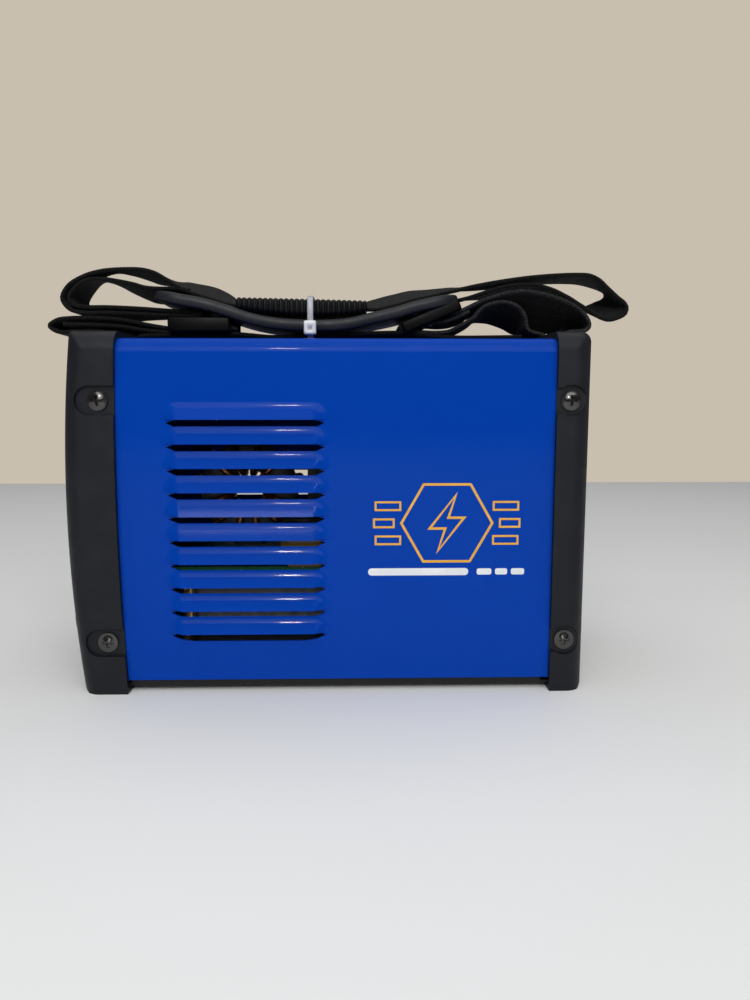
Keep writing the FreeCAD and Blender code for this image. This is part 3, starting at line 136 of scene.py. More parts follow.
class Shader:
    """A Principled material with small helpers for procedural detail."""

    def __init__(self, name, colour, rough=0.5, metal=0.0, **sockets):
        """More sockets are given by name, with _ for each space."""
        self.made = bpy.data.materials.new(name)
        self.made.use_nodes = True
        self.tree = self.made.node_tree
        self.shader = next(n for n in self.tree.nodes if n.type == "BSDF_PRINCIPLED")
        self.colour = tuple(colour) + (1.0,)
        self.shader.inputs["Base Color"].default_value = self.colour
        self.shader.inputs["Roughness"].default_value = rough
        self.shader.inputs["Metallic"].default_value = metal
        for socket, value in sockets.items():
            self.shader.inputs[socket.replace("_", " ")].default_value = value
        self.height = None
        self.coords = None

    def feed(self, socket, value):
        """Links another node's output to a socket, or sets the socket to a plain value."""
        if hasattr(value, "is_output"):
            self.tree.links.new(value, socket)
        else:
            socket.default_value = value

    def node(self, kind, inputs=None, **settings):
        """Adds a shader node with its settings and its inputs, given by name."""
        new = self.tree.nodes.new("ShaderNode" + kind)
        for key, value in settings.items():
            setattr(new, key, value)
        for key, value in (inputs or {}).items():
            self.feed(new.inputs[key], value)
        return new

    def place(self, uv=False):
        """Texture coordinates: object space in metres, or the piece's own UV layer."""
        if self.coords is None:
            self.coords = self.node("TexCoord")
        return self.coords.outputs["UV" if uv else "Object"]

    def noise(self, scale, detail=3.0, rough=0.5, stretch=(1.0, 1.0, 1.0)):
        """Cloudy noise from 0 to 1; scale is in features per metre."""
        where = self.node("Mapping", {"Vector": self.place(), "Scale": stretch}).outputs[0]
        return self.node("TexNoise", {"Vector": where, "Scale": scale, "Detail": detail,
                                      "Roughness": rough}).outputs["Fac"]

    def ramp(self, value, low, high, out_low=0.0, out_high=1.0):
        """Maps low..high to out_low..out_high and clamps it there."""
        return self.node("MapRange", {"Value": value, "From Min": low, "From Max": high,
                                      "To Min": out_low, "To Max": out_high}).outputs[0]

    def maths(self, kind, first, second=0.0):
        """One arithmetic step on outputs or plain numbers."""
        new = self.node("Math", operation=kind)
        self.feed(new.inputs[0], first)
        self.feed(new.inputs[1], second)
        return new.outputs[0]

    def blend(self, amount, first, second):
        """Mixes two colours, each an output or a plain colour of three or four numbers."""
        new = self.node("Mix", data_type="RGBA")
        factor, colour_a, colour_b = new.inputs[0], new.inputs[6], new.inputs[7]
        self.feed(factor, amount)
        for socket, colour in ((colour_a, first), (colour_b, second)):
            if not hasattr(colour, "is_output"):
                colour = tuple(colour) + (1.0,) * (4 - len(colour))
            self.feed(socket, colour)
        return new.outputs[2]

    def tint(self, amount, colour):
        """Mixes another colour in by a 0 to 1 amount, over what is there."""
        socket = self.shader.inputs["Base Color"]
        under = socket.links[0].from_socket if socket.links else self.colour
        self.tree.links.new(self.blend(amount, under, colour), socket)

    def roughen(self, value, low, high):
        """Roughness that runs from low to high with a 0 to 1 value."""
        self.tree.links.new(self.ramp(value, 0.3, 0.7, low, high), self.shader.inputs["Roughness"])

    def bump(self, value, depth):
        """Adds relief of a real depth in millimetres."""
        inputs = {"Height": value, "Distance": depth * MM, "Strength": 1.0}
        if self.height is not None:
            inputs["Normal"] = self.height
        self.height = self.node("Bump", inputs).outputs[0]
        self.tree.links.new(self.height, self.shader.inputs["Normal"])


def shaded(colour, gain, lift=0.0):
    """A colour made lighter or darker, channel by channel."""
    return tuple(min(1.0, channel * gain + lift) for channel in colour)


def painted(name, colour, rough, peel=0.02, **sockets):
    """Baked powder coat: orange peel of a given depth, dust and small changes of shade."""
    made = Shader(name, colour, rough, **sockets)
    made.bump(made.noise(420, 2.0), peel)
    dust = made.ramp(made.noise(34, 4.0, 0.6), 0.45, 0.75, 0.0, 0.10)
    made.tint(dust, shaded(colour, 1.4, 0.002))
    made.roughen(made.noise(60, 5.0, 0.6), rough * 0.8, rough * 1.25)
    return made


def moulded(name, colour, rough, grain=0.05, grain_scale=2200, **sockets):
    """Injection-moulded plastic with an etched grain, rubbed a little lighter in places."""
    made = Shader(name, colour, rough, **sockets)
    made.bump(made.noise(grain_scale, 2.0, 0.6), grain)
    rubbed = made.ramp(made.noise(85, 5.0, 0.65), 0.48, 0.78, 0.0, 0.5)
    made.tint(rubbed, shaded(colour, 1.7, 0.004))
    made.roughen(made.noise(150, 4.0), rough * 0.85, rough * 1.15)
    return made


def metallic(name, colour, rough, stretch=(1.0, 1.0, 1.0), scale=900):
    """Bare or plated metal with a fine finish, directional where stretched, and faint tarnish."""
    made = Shader(name, colour, rough, metal=1.0)
    made.bump(made.noise(scale, 3.0, 0.6, stretch), 0.006)
    tarnish = made.ramp(made.noise(140, 4.0, 0.6), 0.5, 0.8, 0.0, 0.45)
    made.tint(tarnish, shaded(colour, 0.55))
    made.roughen(made.noise(320, 3.0), rough * 0.75, rough * 1.35)
    return made


def board_finish(name):
    """Green solder mask with lighter tracks in a brick pattern and round tinned pads."""
    made = Shader(name, (0.008, 0.11, 0.045), 0.35)
    black, white = (0, 0, 0, 1), (1, 1, 1, 1)
    tracks = made.node("TexBrick", {"Vector": made.place(), "Scale": 120.0, "Mortar Size": 0.08,
                                    "Color1": black, "Color2": black, "Mortar": white}).outputs["Color"]
    made.tint(made.maths("MULTIPLY", tracks, 0.5), (0.02, 0.22, 0.09))
    pads = made.node("TexVoronoi", {"Vector": made.place(), "Scale": 260.0})
    made.tint(made.ramp(pads.outputs["Distance"], 0.16, 0.12), (0.75, 0.72, 0.66))
    made.bump(tracks, 0.03)
    made.roughen(made.noise(200), 0.28, 0.45)
    return made


def taped(name, colour, other, turn_width, rough):
    """Tape wound in level turns of a given width, every other one darker and a little prouder."""
    made = Shader(name, colour, rough)
    scale = 1.0 / (turn_width * MM) / 20.0 * math.pi  # a wave texture repeats every 2 pi / 20 at a scale of 1
    wave = made.node("TexWave", {"Vector": made.place(), "Scale": scale, "Distortion": 0.6, "Detail": 1.0,
                                 "Detail Scale": 2.0}, bands_direction="Z").outputs["Fac"]
    made.tint(made.ramp(wave, 0.2, 0.8), other)
    made.bump(wave, 0.05)
    made.roughen(made.noise(180), rough * 0.85, rough * 1.2)
    return made


def lens(name, colour, rough=0.12):
    """Tinted clear plastic that lets some light through."""
    made = Shader(name, colour, rough, Transmission_Weight=0.55, IOR=1.49)
    made.bump(made.noise(600, 2.0), 0.01)
    made.tint(made.ramp(made.noise(250), 0.4, 0.8, 0.0, 0.3), shaded(colour, 0.7))
    made.roughen(made.noise(300), rough * 0.7, rough * 1.5)
    return made


FINISHES = {
    "blue_paint": painted("blue_paint", (0.0006, 0.043, 0.345), 0.22, peel=0.012, Specular_IOR_Level=0.02,
                          Coat_Weight=0.09, Coat_Roughness=0.05),
    "black_paint": painted("black_paint", (0.005, 0.005, 0.0048), 0.42, Specular_IOR_Level=0.3),
    "black_plastic": moulded("black_plastic", (0.008, 0.0088, 0.0122), 0.45, Specular_IOR_Level=0.2),
    "overlay_film": moulded("overlay_film", (0.022, 0.023, 0.026), 0.34, grain=0.01, grain_scale=1500),
    "dark_zinc": metallic("dark_zinc", (0.085, 0.083, 0.082), 0.17, scale=1500),
    "smoked_window": lens("smoked_window", (0.03, 0.012, 0.012)),
    "display_plastic": moulded("display_plastic", (0.03, 0.02, 0.02), 0.3, grain=0.01),
    "green_lens": lens("green_lens", (0.05, 0.5, 0.12)),
    "amber_lens": lens("amber_lens", (0.85, 0.36, 0.03)),
    "knob_plastic": moulded("knob_plastic", (0.018, 0.018, 0.02), 0.45, grain=0.03),
    "knob_cap": moulded("knob_cap", (0.004, 0.045, 0.36), 0.25, grain=0.01, grain_scale=1200,
                        Coat_Weight=0.3),
    "steel": metallic("steel", (0.55, 0.56, 0.58), 0.25),
    "brass": metallic("brass", (0.75, 0.53, 0.22), 0.26),
    "copper": metallic("copper", (0.42, 0.17, 0.08), 0.3),
    "circuit_board": board_finish("circuit_board"),
    "insulation": moulded("insulation", (0.26, 0.22, 0.15), 0.7, grain_scale=900),
    # painted shade: the aluminium is darkened far below bare metal so that the louvre slots read dark inside
    "aluminium": metallic("aluminium", (0.11, 0.115, 0.13), 0.45, stretch=(1.0, 30.0, 30.0), scale=60),
    "chip_plastic": moulded("chip_plastic", (0.02, 0.02, 0.02), 0.5),
    "capacitor_sleeve": moulded("capacitor_sleeve", (0.012, 0.016, 0.06), 0.3, grain=0.01, grain_scale=900),
    "ferrite": moulded("ferrite", (0.045, 0.045, 0.05), 0.6, grain=0.06, grain_scale=1500),
    "winding_tape": taped("winding_tape", (0.22, 0.14, 0.014), (0.14, 0.09, 0.008), 3.0, 0.35),
    "relay_plastic": moulded("relay_plastic", (0.03, 0.09, 0.36), 0.35, grain=0.01),
    "fan_plastic": moulded("fan_plastic", (0.016, 0.016, 0.017), 0.42, grain=0.03),
    "rocker_plastic": moulded("rocker_plastic", (0.5, 0.012, 0.01), 0.25, grain=0.01, grain_scale=1200),
    "rubber": moulded("rubber", (0.014, 0.014, 0.014), 0.7, grain=0.06, grain_scale=1500),
    "webbing": moulded("webbing_plain", (0.012, 0.012, 0.013), 0.8, grain=0.1, grain_scale=900),
    "pad_rubber": moulded("pad_rubber", (0.013, 0.014, 0.0175), 0.42, grain=0.04, grain_scale=1400,
                          Specular_IOR_Level=0.22),
    "grip_rubber": moulded("grip_rubber", (0.0014, 0.0015, 0.0019), 0.4, grain_scale=1500,
                           Specular_IOR_Level=0.18),
    "clear_nylon": moulded("clear_nylon", (0.72, 0.73, 0.72), 0.35, grain=0.02, grain_scale=1200,
                           Subsurface_Weight=0.2, Subsurface_Radius=(0.002, 0.002, 0.002)),
    "slider_plastic": moulded("slider_plastic", (0.0016, 0.0015, 0.0016), 0.4, grain=0.02,
                              Specular_IOR_Level=0.09),
}


def finish_nodes():
    """Gives every CAD node the material of its slot."""
    for part in frame["record"]["subparts"]:
        mesh = nodes[part["node"]].data
        mesh.materials.clear()
        mesh.materials.append(FINISHES[part["material_slot"]].made)


# ---------------------------------------------------------------- curves, bands and lofts

def smooth_path(points, step, closed=False):
    """Even samples of a centripetal Catmull-Rom curve through points of any dimension."""
    spots = [Vector(p) for p in points]
    if closed:
        spots = [spots[-1]] + spots + spots[:2]
    else:
        spots = [spots[0] * 2 - spots[1]] + spots + [spots[-1] * 2 - spots[-2]]
    dense = []
    for a, b, c, d in zip(spots, spots[1:], spots[2:], spots[3:]):
        # the curve's knots 0, t1, t2 and t3 are apart by the square root of the distance
        t1 = (b - a).length ** 0.5
        t2 = t1 + (c - b).length ** 0.5
        t3 = t2 + (d - c).length ** 0.5
        count = max(4, int((c - b).length / step * 3))
        for number in range(count):
            t = t1 + (t2 - t1) * number / count
            ab = a * ((t1 - t) / t1) + b * (t / t1)
            bc = b * ((t2 - t) / (t2 - t1)) + c * ((t - t1) / (t2 - t1))
            cd = c * ((t3 - t) / (t3 - t2)) + d * ((t - t2) / (t3 - t2))
            abc = ab * ((t2 - t) / t2) + bc * (t / t2)
            bcd = bc * ((t3 - t) / (t3 - t1)) + cd * ((t - t1) / (t3 - t1))
            dense.append(abc * ((t2 - t) / (t2 - t1)) + bcd * ((t - t1) / (t2 - t1)))
    dense.append(spots[-2])
    total = sum((q - p).length for p, q in zip(dense, dense[1:]))
    wanted = max(2, round(total / step))
    even, walked, mark = [dense[0]], 0.0, 1
    for p, q in zip(dense, dense[1:]):
        length = (q - p).length
        while mark < wanted and walked + length >= total * mark / wanted:
            even.append(p.lerp(q, (total * mark / wanted - walked) / max(length, 1e-12)))
            mark += 1
        walked += length
    if not closed:
        even.append(dense[-1])
    return even


def new_object(name, mesh, finish, body="case", replaces=()):
    """Links a mesh as a smooth-shaded piece of the object."""
    made = bpy.data.objects.new(name, mesh)
    scene.collection.objects.link(made)
    for face in mesh.polygons:
        face.use_smooth = True
    mesh.materials.append(finish.made)
    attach(made, body)
    if replaces:
        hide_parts(*replaces)
    return made


def loft(name, rings, closed_ends=True):
    """Closed mesh through rings of equal length, given in millimetres."""
    size = len(rings[0])
    faces = [(i * size + j, i * size + (j + 1) % size, (i + 1) * size + (j + 1) % size, (i + 1) * size + j)
             for i in range(len(rings) - 1) for j in range(size)]
    if closed_ends:
        faces.append(tuple(reversed(range(size))))
        faces.append(tuple(range((len(rings) - 1) * size, len(rings) * size)))
    mesh = bpy.data.meshes.new(name)
    mesh.from_pydata([tuple(Vector(p) * MM) for row in rings for p in row], [], faces)
    work = bmesh.new()
    work.from_mesh(mesh)
    bmesh.ops.recalc_face_normals(work, faces=work.faces)
    work.to_mesh(mesh)
    work.free()
    return mesh


def rounded_section(half_wide, low, high, corner, count=10):
    """Points (y, z) round a rectangle with round corners."""
    spots = []
    for cy, cz, start in ((half_wide - corner, high - corner, 0), (corner - half_wide, high - corner, 90),
                          (corner - half_wide, low + corner, 180), (half_wide - corner, low + corner, 270)):
        for number in range(count):
            angle = math.radians(start + 90 * number / (count - 1))
            spots.append((cy + corner * math.cos(angle), cz + corner * math.sin(angle)))
    return spots


def band_profile(across, blunt):
    """Points round a band's section, as shares: of the half width, of the half thickness, and of the half
    thickness again for the bulge past the edge. A blunt under 1 makes the round edges squarer."""
    flat = [-1.0 + 2.0 * number / (across - 1) for number in range(across)]
    edge = [(math.copysign(abs(math.sin(angle)) ** blunt, angle), math.cos(angle) ** blunt)
            for angle in map(math.radians, (60, 30, 0, -30, -60))]
    upper = [(share, 1.0, 0.0) for share in flat] + [(1.0, *spot) for spot in edge]
    lower = [(-share, -1.0, 0.0) for share in flat] + [(-1.0, *spot) for spot in reversed(edge)]
    return upper + lower


def band_mesh(name, route, width, thick, step, across, tooth=0.0, shape=None, blunt=1.0):
    """Closed mesh of a flat band with a UV layer in metres, and the band's length.

    A route point is (x, z) or (x, z, far dx, far dz): where the middle of the thickness lies at the edge near
    the camera, and how far the other edge is moved from straight behind it. shape(share) gives the width
    factor and the thickness factor at a share of the length. tooth is the height of the weft's teeth.
    """
    path = smooth_path([tuple(spot) + (0.0,) * (4 - len(spot)) for spot in route], step)
    profile = band_profile(across, blunt)
    last = len(path) - 1
    rings, uvs = [], []
    walked = 0.0
    for number, spot in enumerate(path):
        before, after = path[max(0, number - 1)], path[min(last, number + 1)]
        if number:
            walked += (Vector(spot[:2]) - Vector(before[:2])).length
        wide_by, thick_by = shape(number / last) if shape else (1.0, 1.0)
        ahead = Vector((after[0] - before[0], 0.0, after[1] - before[1])).normalized()
        lean = Vector((spot[2], 0.0, spot[3]))
        depth = math.sqrt(max(1.0, width * width - lean.length_squared))
        side = Vector((lean.x, depth, lean.z)).normalized()
        up = ahead.cross(side).normalized() * -1.0
        middle = Vector((spot[0], -width / 2, spot[1])) + side * (width / 2)
        half_thick = thick * thick_by / 2
        row = []
        for share, level, bulge in profile:
            reach = width * wide_by / 2 - half_thick
            if tooth and abs(share) == 1.0:
                reach += tooth * math.cos(2 * math.pi * walked / RIB_PITCH)
            out = share * reach + math.copysign(half_thick * bulge, share)
            row.append(middle + side * out + up * (level * half_thick))
            uvs.append((walked * MM, out * MM))
        rings.append(row)
    mesh = loft(name, rings)
    layer = mesh.uv_layers.new(name="along")
    for loop in mesh.loops:
        layer.data[loop.index].uv = uvs[loop.vertex_index]
    return mesh, walked


# ---------------------------------------------------------------- webbing

WEBBING_WIDTH, WEBBING_THICK = 25.0, 1.7
RIB_PITCH, ZIG_PITCH, YARN_PITCH = 1.5, 3.1, 0.7
SELVEDGE = (10.6, 11.8)  # where the painted edge highlight begins and is full, from the middle of the width


def webbing_look(name, colour, thread_and_ridge_highlight, edge):
    """Woven nylon: rows of slanted ribs that change direction across the width, with a fuzz of fibre."""
    made = Shader(name, colour, 0.78, Sheen_Weight=0.05, Sheen_Roughness=0.45, Specular_IOR_Level=0.12)
    split = made.node("SeparateXYZ", {"Vector": made.place(uv=True)})
    along, across = split.outputs[0], split.outputs[1]
    zig = made.maths("PINGPONG", across, ZIG_PITCH * MM)
    lean = made.maths("MULTIPLY", zig, 0.8 / (RIB_PITCH * MM))
    phase = made.maths("ADD", made.maths("DIVIDE", along, RIB_PITCH * MM), lean)
    rib = made.maths("MULTIPLY", made.maths("PINGPONG", phase, 0.5), 2.0)
    yarns = made.maths("DIVIDE", across, YARN_PITCH * MM)
    yarn = made.maths("MULTIPLY", made.maths("PINGPONG", yarns, 0.5), 2.0)
    fuzz = made.noise(2600, 3.0, 0.7)
    # painted highlight: the rib tops are tinted towards the lighter thread colour
    made.tint(made.maths("MULTIPLY", made.ramp(rib, 0.45, 1.0), 0.75), thread_and_ridge_highlight)
    made.tint(made.ramp(fuzz, 0.55, 0.85, 0.0, 0.35), shaded(thread_and_ridge_highlight, 2.2))
    made.tint(made.ramp(made.noise(40, 4.0), 0.45, 0.75, 0.0, 0.3), shaded(colour, 0.6))
    # painted highlight: both edges of the strap are tinted lighter, broken into dots by noise
    at_edge = made.ramp(made.maths("ABSOLUTE", across), SELVEDGE[0] * MM, SELVEDGE[1] * MM)
    edge_highlight_dots = made.ramp(made.noise(1500, 2.0), 0.4, 0.7, 0.2, 1.0)
    made.tint(made.maths("MULTIPLY", at_edge, edge_highlight_dots), edge)
    made.bump(rib, 0.28)
    made.bump(yarn, 0.1)
    made.bump(fuzz, 0.06)
    made.roughen(fuzz, 0.62, 0.9)
    return made


# the edge colours are painted highlight along the strap edges, much brighter on the rear strap
BLACK_WEB = webbing_look("black_webbing", colour=(0.0018, 0.0017, 0.0018), thread_and_ridge_highlight=(0.009, 0.0084, 0.008),
                         edge=(0.006, 0.006, 0.006))
EDGE_LIT_WEB = webbing_look("edge_lit_webbing", colour=(0.0018, 0.0017, 0.002), thread_and_ridge_highlight=(0.008, 0.0078, 0.008),
                        edge=(0.035, 0.035, 0.037))

MAIN_ROUTE = [
    # inner turn of the left loop
    (-62.4, 166.8, 0, -1.4), (-68.3, 167.6, 0, -2.0), (-74.9, 167.6, 0, -3.6), (-81.6, 168.1, 0, -3.8),
    (-86.4, 169.4, 0, -3.4), (-93.4, 170.7, 0, -1.4), (-100.0, 171.4, 0, 1.5), (-105.9, 171.0, 0, 2.8),
    (-111.1, 168.1, 0, 1.0), (-114.2, 163.6), (-112.5, 160.7), (-107.6, 159.7), (-98.1, 159.6),
    (-85.2, 159.1, 0, -0.6), (-70.3, 158.1, 0, -1.2), (-60.4, 157.4, 0, -0.6), (-57.8, 156.6, 0, 0.4),
    # outer turn of the left loop
    (-60.4, 155.7, 0, 1.4), (-70.3, 156.0, 0, 1.4), (-85.2, 156.7, 0, 0.2), (-98.1, 157.3, 0, -1.6),
    (-108.1, 157.3, 0, -1.0), (-114.2, 158.7), (-117.2, 163.1), (-114.4, 168.5, 0, 0.8),
    (-107.1, 172.7, 0, 2.8), (-99.7, 174.7, 0, 3.2), (-93.4, 175.4, 0, 1.6), (-89.0, 175.6, 0, 0.2),
    (-84.2, 175.6, 0, -1.4), (-80.9, 175.2, 0, -2.2), (-76.8, 173.9, 0, -1.6), (-72.3, 171.2, 0, 1.2),
    (-68.3, 168.6, 0, 4.2), (-63.4, 166.0, 0, 6.0),
    # down through the grip and up again
    (-54.5, 163.1, 0, 7.0), (-47.6, 161.0, 0, 5.6), (-44.1, 160.4, 0, 3.2), (-40.6, 160.1, 0, 1.0),
    (-24.8, 160.1), (-10.0, 160.0), (2.9, 160.1), (7.9, 159.6, 0, 1.6), (11.4, 158.8, 0, 4.2),
    (14.9, 158.5, 0, 5.9), (18.9, 158.6, 0, 6.9), (22.9, 159.4, 0, 7.2), (27.2, 160.4, 0, 7.2),
    (33.8, 162.4, 0, 6.7), (40.8, 163.9, 0, 5.7), (47.6, 165.6, 0, 4.6), (53.8, 167.0, 0, 3.7),
    # out to the right loop, round it and back
    (58.8, 168.3, 0, 2.2), (68.9, 170.3, 0, 0.8), (84.0, 172.5, 0, 0.6), (97.0, 173.6, 0, 0.2),
    (106.1, 173.9), (111.1, 173.6, 0.8, 0), (115.3, 171.7, 2.5, 0.6), (119.1, 168.2, 5.0, 1.8),
    (123.6, 164.3, 1.6, 4.0), (127.1, 161.6, -2.8, 5.2), (128.2, 159.3, -5.4, 6.4), (127.4, 156.9, -6.4, 7.8),
    (124.4, 155.2, -5.2, 8.6), (120.5, 154.3, -4.0, 8.4), (116.7, 155.3, -2.0, 6.8), (112.1, 157.9, 0, 4.6),
    (109.1, 159.9, 0, 2.6), (106.1, 161.8, 0, 0.4), (103.1, 163.7, 0, -0.8), (100.0, 165.3, 0, -1.2),
    (96.0, 167.2, 0, -1.2), (89.0, 169.2, 0, -0.8), (81.9, 169.7, 0, -0.8), (74.9, 168.9, 0, -0.8),
    (68.9, 167.3, 0, -0.6), (63.8, 165.6, 0, 0.8), (58.8, 163.9, 0, 2.2), (54.8, 162.8, 0, 2.4)]
FRONT_ROUTE = [
    # to the left slider, round its middle bar and back
    (-117.0, 152.4, 0, -1.2), (-110.1, 152.3, 0, -1.8), (-104.1, 152.2, 0, -2.2), (-92.2, 151.4, 0, -2.0),
    (-84.2, 150.1, 0, -1.4), (-76.3, 149.2, 0, -0.8), (-68.3, 148.9), (-61.4, 149.5), (-58.0, 150.3),
    (-55.9, 152.1), (-57.8, 154.3), (-61.0, 153.9), (-64.8, 151.5), (-69.7, 150.6), (-76.8, 151.4),
    (-84.2, 152.8, 0, -1.6), (-92.2, 154.3, 0, -3.4), (-104.1, 155.2, 0, -4.0), (-114.0, 155.1, 0, -3.4),
    # round the left end and down through the front slot
    (-119.8, 154.2, 0, -1.6), (-123.2, 151.6), (-120.0, 149.2, 0, -0.6), (-113.0, 149.2, 0, -1.4),
    (-104.1, 149.3, 0, -1.2), (-98.7, 148.6), (-95.0, 145.8), (-93.2, 143.0), (-88.8, 143.0),
    # up again and along the cover
    (-87.2, 145.0), (-84.0, 147.2), (-78.0, 147.6), (-60.1, 148.0, 0, -0.4), (-44.3, 148.4, 0, -0.8),
    (-36.1, 147.8, 0, -0.4), (-28.0, 147.1), (-20.0, 147.3), (-9.3, 148.1, 0, -0.6), (7.4, 148.4, 0, -0.8),
    (19.0, 148.9, 0, -1.0), (31.0, 148.9, 0, -1.0), (42.0, 147.6, 0, -0.4), (54.0, 147.0), (70.0, 147.1),
    (82.0, 147.3)]
REAR_ROUTE = [
    # from its folded end over the hump
    (37.3, 152.2), (33.4, 153.5), (30.0, 153.2), (28.7, 151.4), (30.4, 150.3), (34.8, 149.6), (43.9, 149.0),
    (49.8, 149.6, 0, -1.0), (54.8, 151.9, 0, -1.6), (57.8, 153.6, 0, -1.8), (60.8, 155.7, 0, -2.0),
    (62.9, 158.2, 0, -2.8), (66.0, 160.7, 0, -5.0), (70.2, 162.1, 0, -6.8), (74.3, 162.4, 0, -8.4),
    (77.9, 161.6, 0, -9.0), (80.5, 160.1, 0, -9.0), (82.6, 157.6, 0, -7.4), (83.7, 154.6, 0, -4.6),
    # down through the rear slot and up again
    (84.2, 151.6, 0, -2.0), (85.6, 149.8, 0, -1.0), (88.5, 148.9, 0, -0.8), (92.2, 147.6), (93.4, 145.4),
    (94.4, 143.0), (97.6, 143.0), (98.6, 145.4), (99.7, 148.0, 0, -0.4), (103.1, 149.5, 0, -2.6),
    # round the right end and back along the top
    (107.1, 149.8, 0, -2.6), (110.3, 150.2, 0, -1.4), (111.7, 151.5, 0, -0.6), (111.8, 153.1, 0, -1.8),
    (110.6, 155.8, 0, -4.4), (108.5, 158.2, 0, -7.2), (105.7, 160.5, 0, -9.0), (102.5, 162.3, 0, -12.0),
    (97.0, 164.5, 0, -14.2), (89.0, 166.6, 0, -15.6), (81.9, 167.2, 0, -14.2), (73.9, 166.1, 0, -10.8),
    (68.9, 164.5, 0, -7.6), (64.3, 162.8, 0, -4.8), (60.3, 160.9, 0, -3.6), (56.3, 159.0, 0, -3.6),
    (53.0, 157.7, 0, -3.6), (47.8, 157.2, 0, -2.6), (40.8, 157.9),
    # round the right slider's bar
    (38.4, 156.1), (40.4, 153.7), (43.4, 153.3), (47.8, 153.9, 0, -0.8), (52.2, 155.2, 0, -1.6),
    (55.8, 156.7, 0, -2.0), (58.8, 158.2, 0, -2.0)]


def make_webbing(name, route, finish=BLACK_WEB):
    """One woven strap with its teeth of weft at both edges."""
    mesh, length = band_mesh(name, route, WEBBING_WIDTH, WEBBING_THICK, step=0.5, across=11, tooth=0.12)
    made = new_object(name, mesh, finish, replaces=[name.replace("woven_", "")])


# ---------------------------------------------------------------- pad, grip, tie and sliders

PAD_WIDTH, PAD_THICK = 36.0, 5.0
PAD_ROUTE = [
    (-77.7, 164.9, 0, -1.0), (-74.3, 164.2, 0, -1.0), (-66.4, 162.5, 0, -1.2), (-56.4, 160.7, 0, -1.2),
    (-46.6, 158.0, 0, -1.0), (-35.7, 154.5, 0, -0.6), (-24.8, 152.5, 0, -0.4), (-11.0, 151.7, 0, -0.2),
    (-1.1, 151.8, 0, -0.2), (6.9, 152.6, 0, -0.2), (13.5, 154.1, 0, -0.4), (20.3, 155.6, 0, -0.6),
    (27.2, 157.3, 0, -0.8), (33.8, 159.3, 0, -1.0), (40.8, 160.9, 0, -1.2), (47.6, 162.4, 0, -1.2),
    (53.8, 163.6, 0, -1.0)]


def pad_shape(share):
    """Width and thickness along the pad: full in the middle, thinner and narrower at two round tips."""
    tip_share = 0.09
    end = min(share, 1.0 - share) / tip_share
    taper = math.sqrt(max(0.0, 1.0 - (1.0 - min(1.0, end)) ** 2))
    return 0.6 + 0.4 * taper, 0.5 + 0.5 * taper


def make_pad():
    """Moulded rubber shoulder pad, bent along the bundle, with blunt edges."""
    mesh, _ = band_mesh("shoulder_pad_cover", PAD_ROUTE, PAD_WIDTH, PAD_THICK, step=1.0, across=19,
                        shape=pad_shape, blunt=0.45)
    made = new_object("shoulder_pad_cover", mesh, FINISHES["pad_rubber"],
                      replaces=["shoulder_pad"])


GRIP_LEFT, GRIP_RIGHT = -41.8, 14.0
GRIP_HALF_WIDTH = 18.0
GRIP_RIB_PITCH, GRIP_RIB_HEIGHT = 2.25, 0.5
GRIP_LIP = 1.2  # length over which each end is rounded in


def grip_ring(x, swell):
    """Section of the grip at x, grown all round by swell."""
    share = (x - GRIP_LEFT) / (GRIP_RIGHT - GRIP_LEFT)
    top = 163.1 - 1.2 * share ** 1.3
    bottom = 158.6 - 1.7 * share - 9.0 * share * (1.0 - share)
    to_end = min(x - GRIP_LEFT, GRIP_RIGHT - x)
    corner = min(2.4, (top - bottom) / 2 - 0.3)
    inset = 0.0 if to_end > GRIP_LIP else 0.5 * (1.0 - max(0.0, to_end) / GRIP_LIP) ** 2
    section = rounded_section(GRIP_HALF_WIDTH + swell - inset, bottom - swell + inset,
                              top + swell - inset, corner)
    return [(x, y, z) for y, z in section]


def make_grip():
    """Moulded sleeve over the webbing with rings of ribs round it, hollow at both ends."""
    steps, hollow_inset, hollow_depth = 300, -1.3, 1.5
    rings = []
    for number in range(steps + 1):
        x = GRIP_LEFT + (GRIP_RIGHT - GRIP_LEFT) * number / steps
        wave = 0.5 - 0.5 * math.cos(2 * math.pi * (x - GRIP_LEFT) / GRIP_RIB_PITCH)
        rings.append(grip_ring(x, GRIP_RIB_HEIGHT * wave ** 0.5 - GRIP_RIB_HEIGHT / 2))
    start, finish = grip_ring(GRIP_LEFT, hollow_inset), grip_ring(GRIP_RIGHT, hollow_inset)
    deep_start = [(x + hollow_depth, y, z) for x, y, z in start]
    deep_finish = [(x - hollow_depth, y, z) for x, y, z in finish]
    mesh = loft("ribbed_grip", [deep_start, start] + rings + [finish, deep_finish])
    new_object("ribbed_grip", mesh, FINISHES["grip_rubber"], replaces=["grip_sleeve"])


TIE_X = -10.1
TIE_HALF_LOOP = [(0.0, 145.0), (17.0, 145.3), (19.2, 147.0), (19.4, 153.0), (19.0, 159.8), (18.0, 162.4),
                 (15.6, 163.5), (12.0, 163.7), (0.0, 163.7)]  # (y, z) from under the bundle to over it
TIE_SECTION = ((-1.25, -0.3), (-1.0, -0.55), (1.0, -0.55), (1.25, -0.3),
               (1.25, 0.3), (1.0, 0.5), (-1.0, 0.5), (-1.25, 0.3))  # (across, out from the bundle)
TIE_HEAD_RINGS = ((-19.3, -0.5), (-19.6, -0.1), (-20.4, 0.0),
                  (-22.6, 0.0), (-23.2, -0.25), (-23.4, -0.7))  # (y, growth of the section)


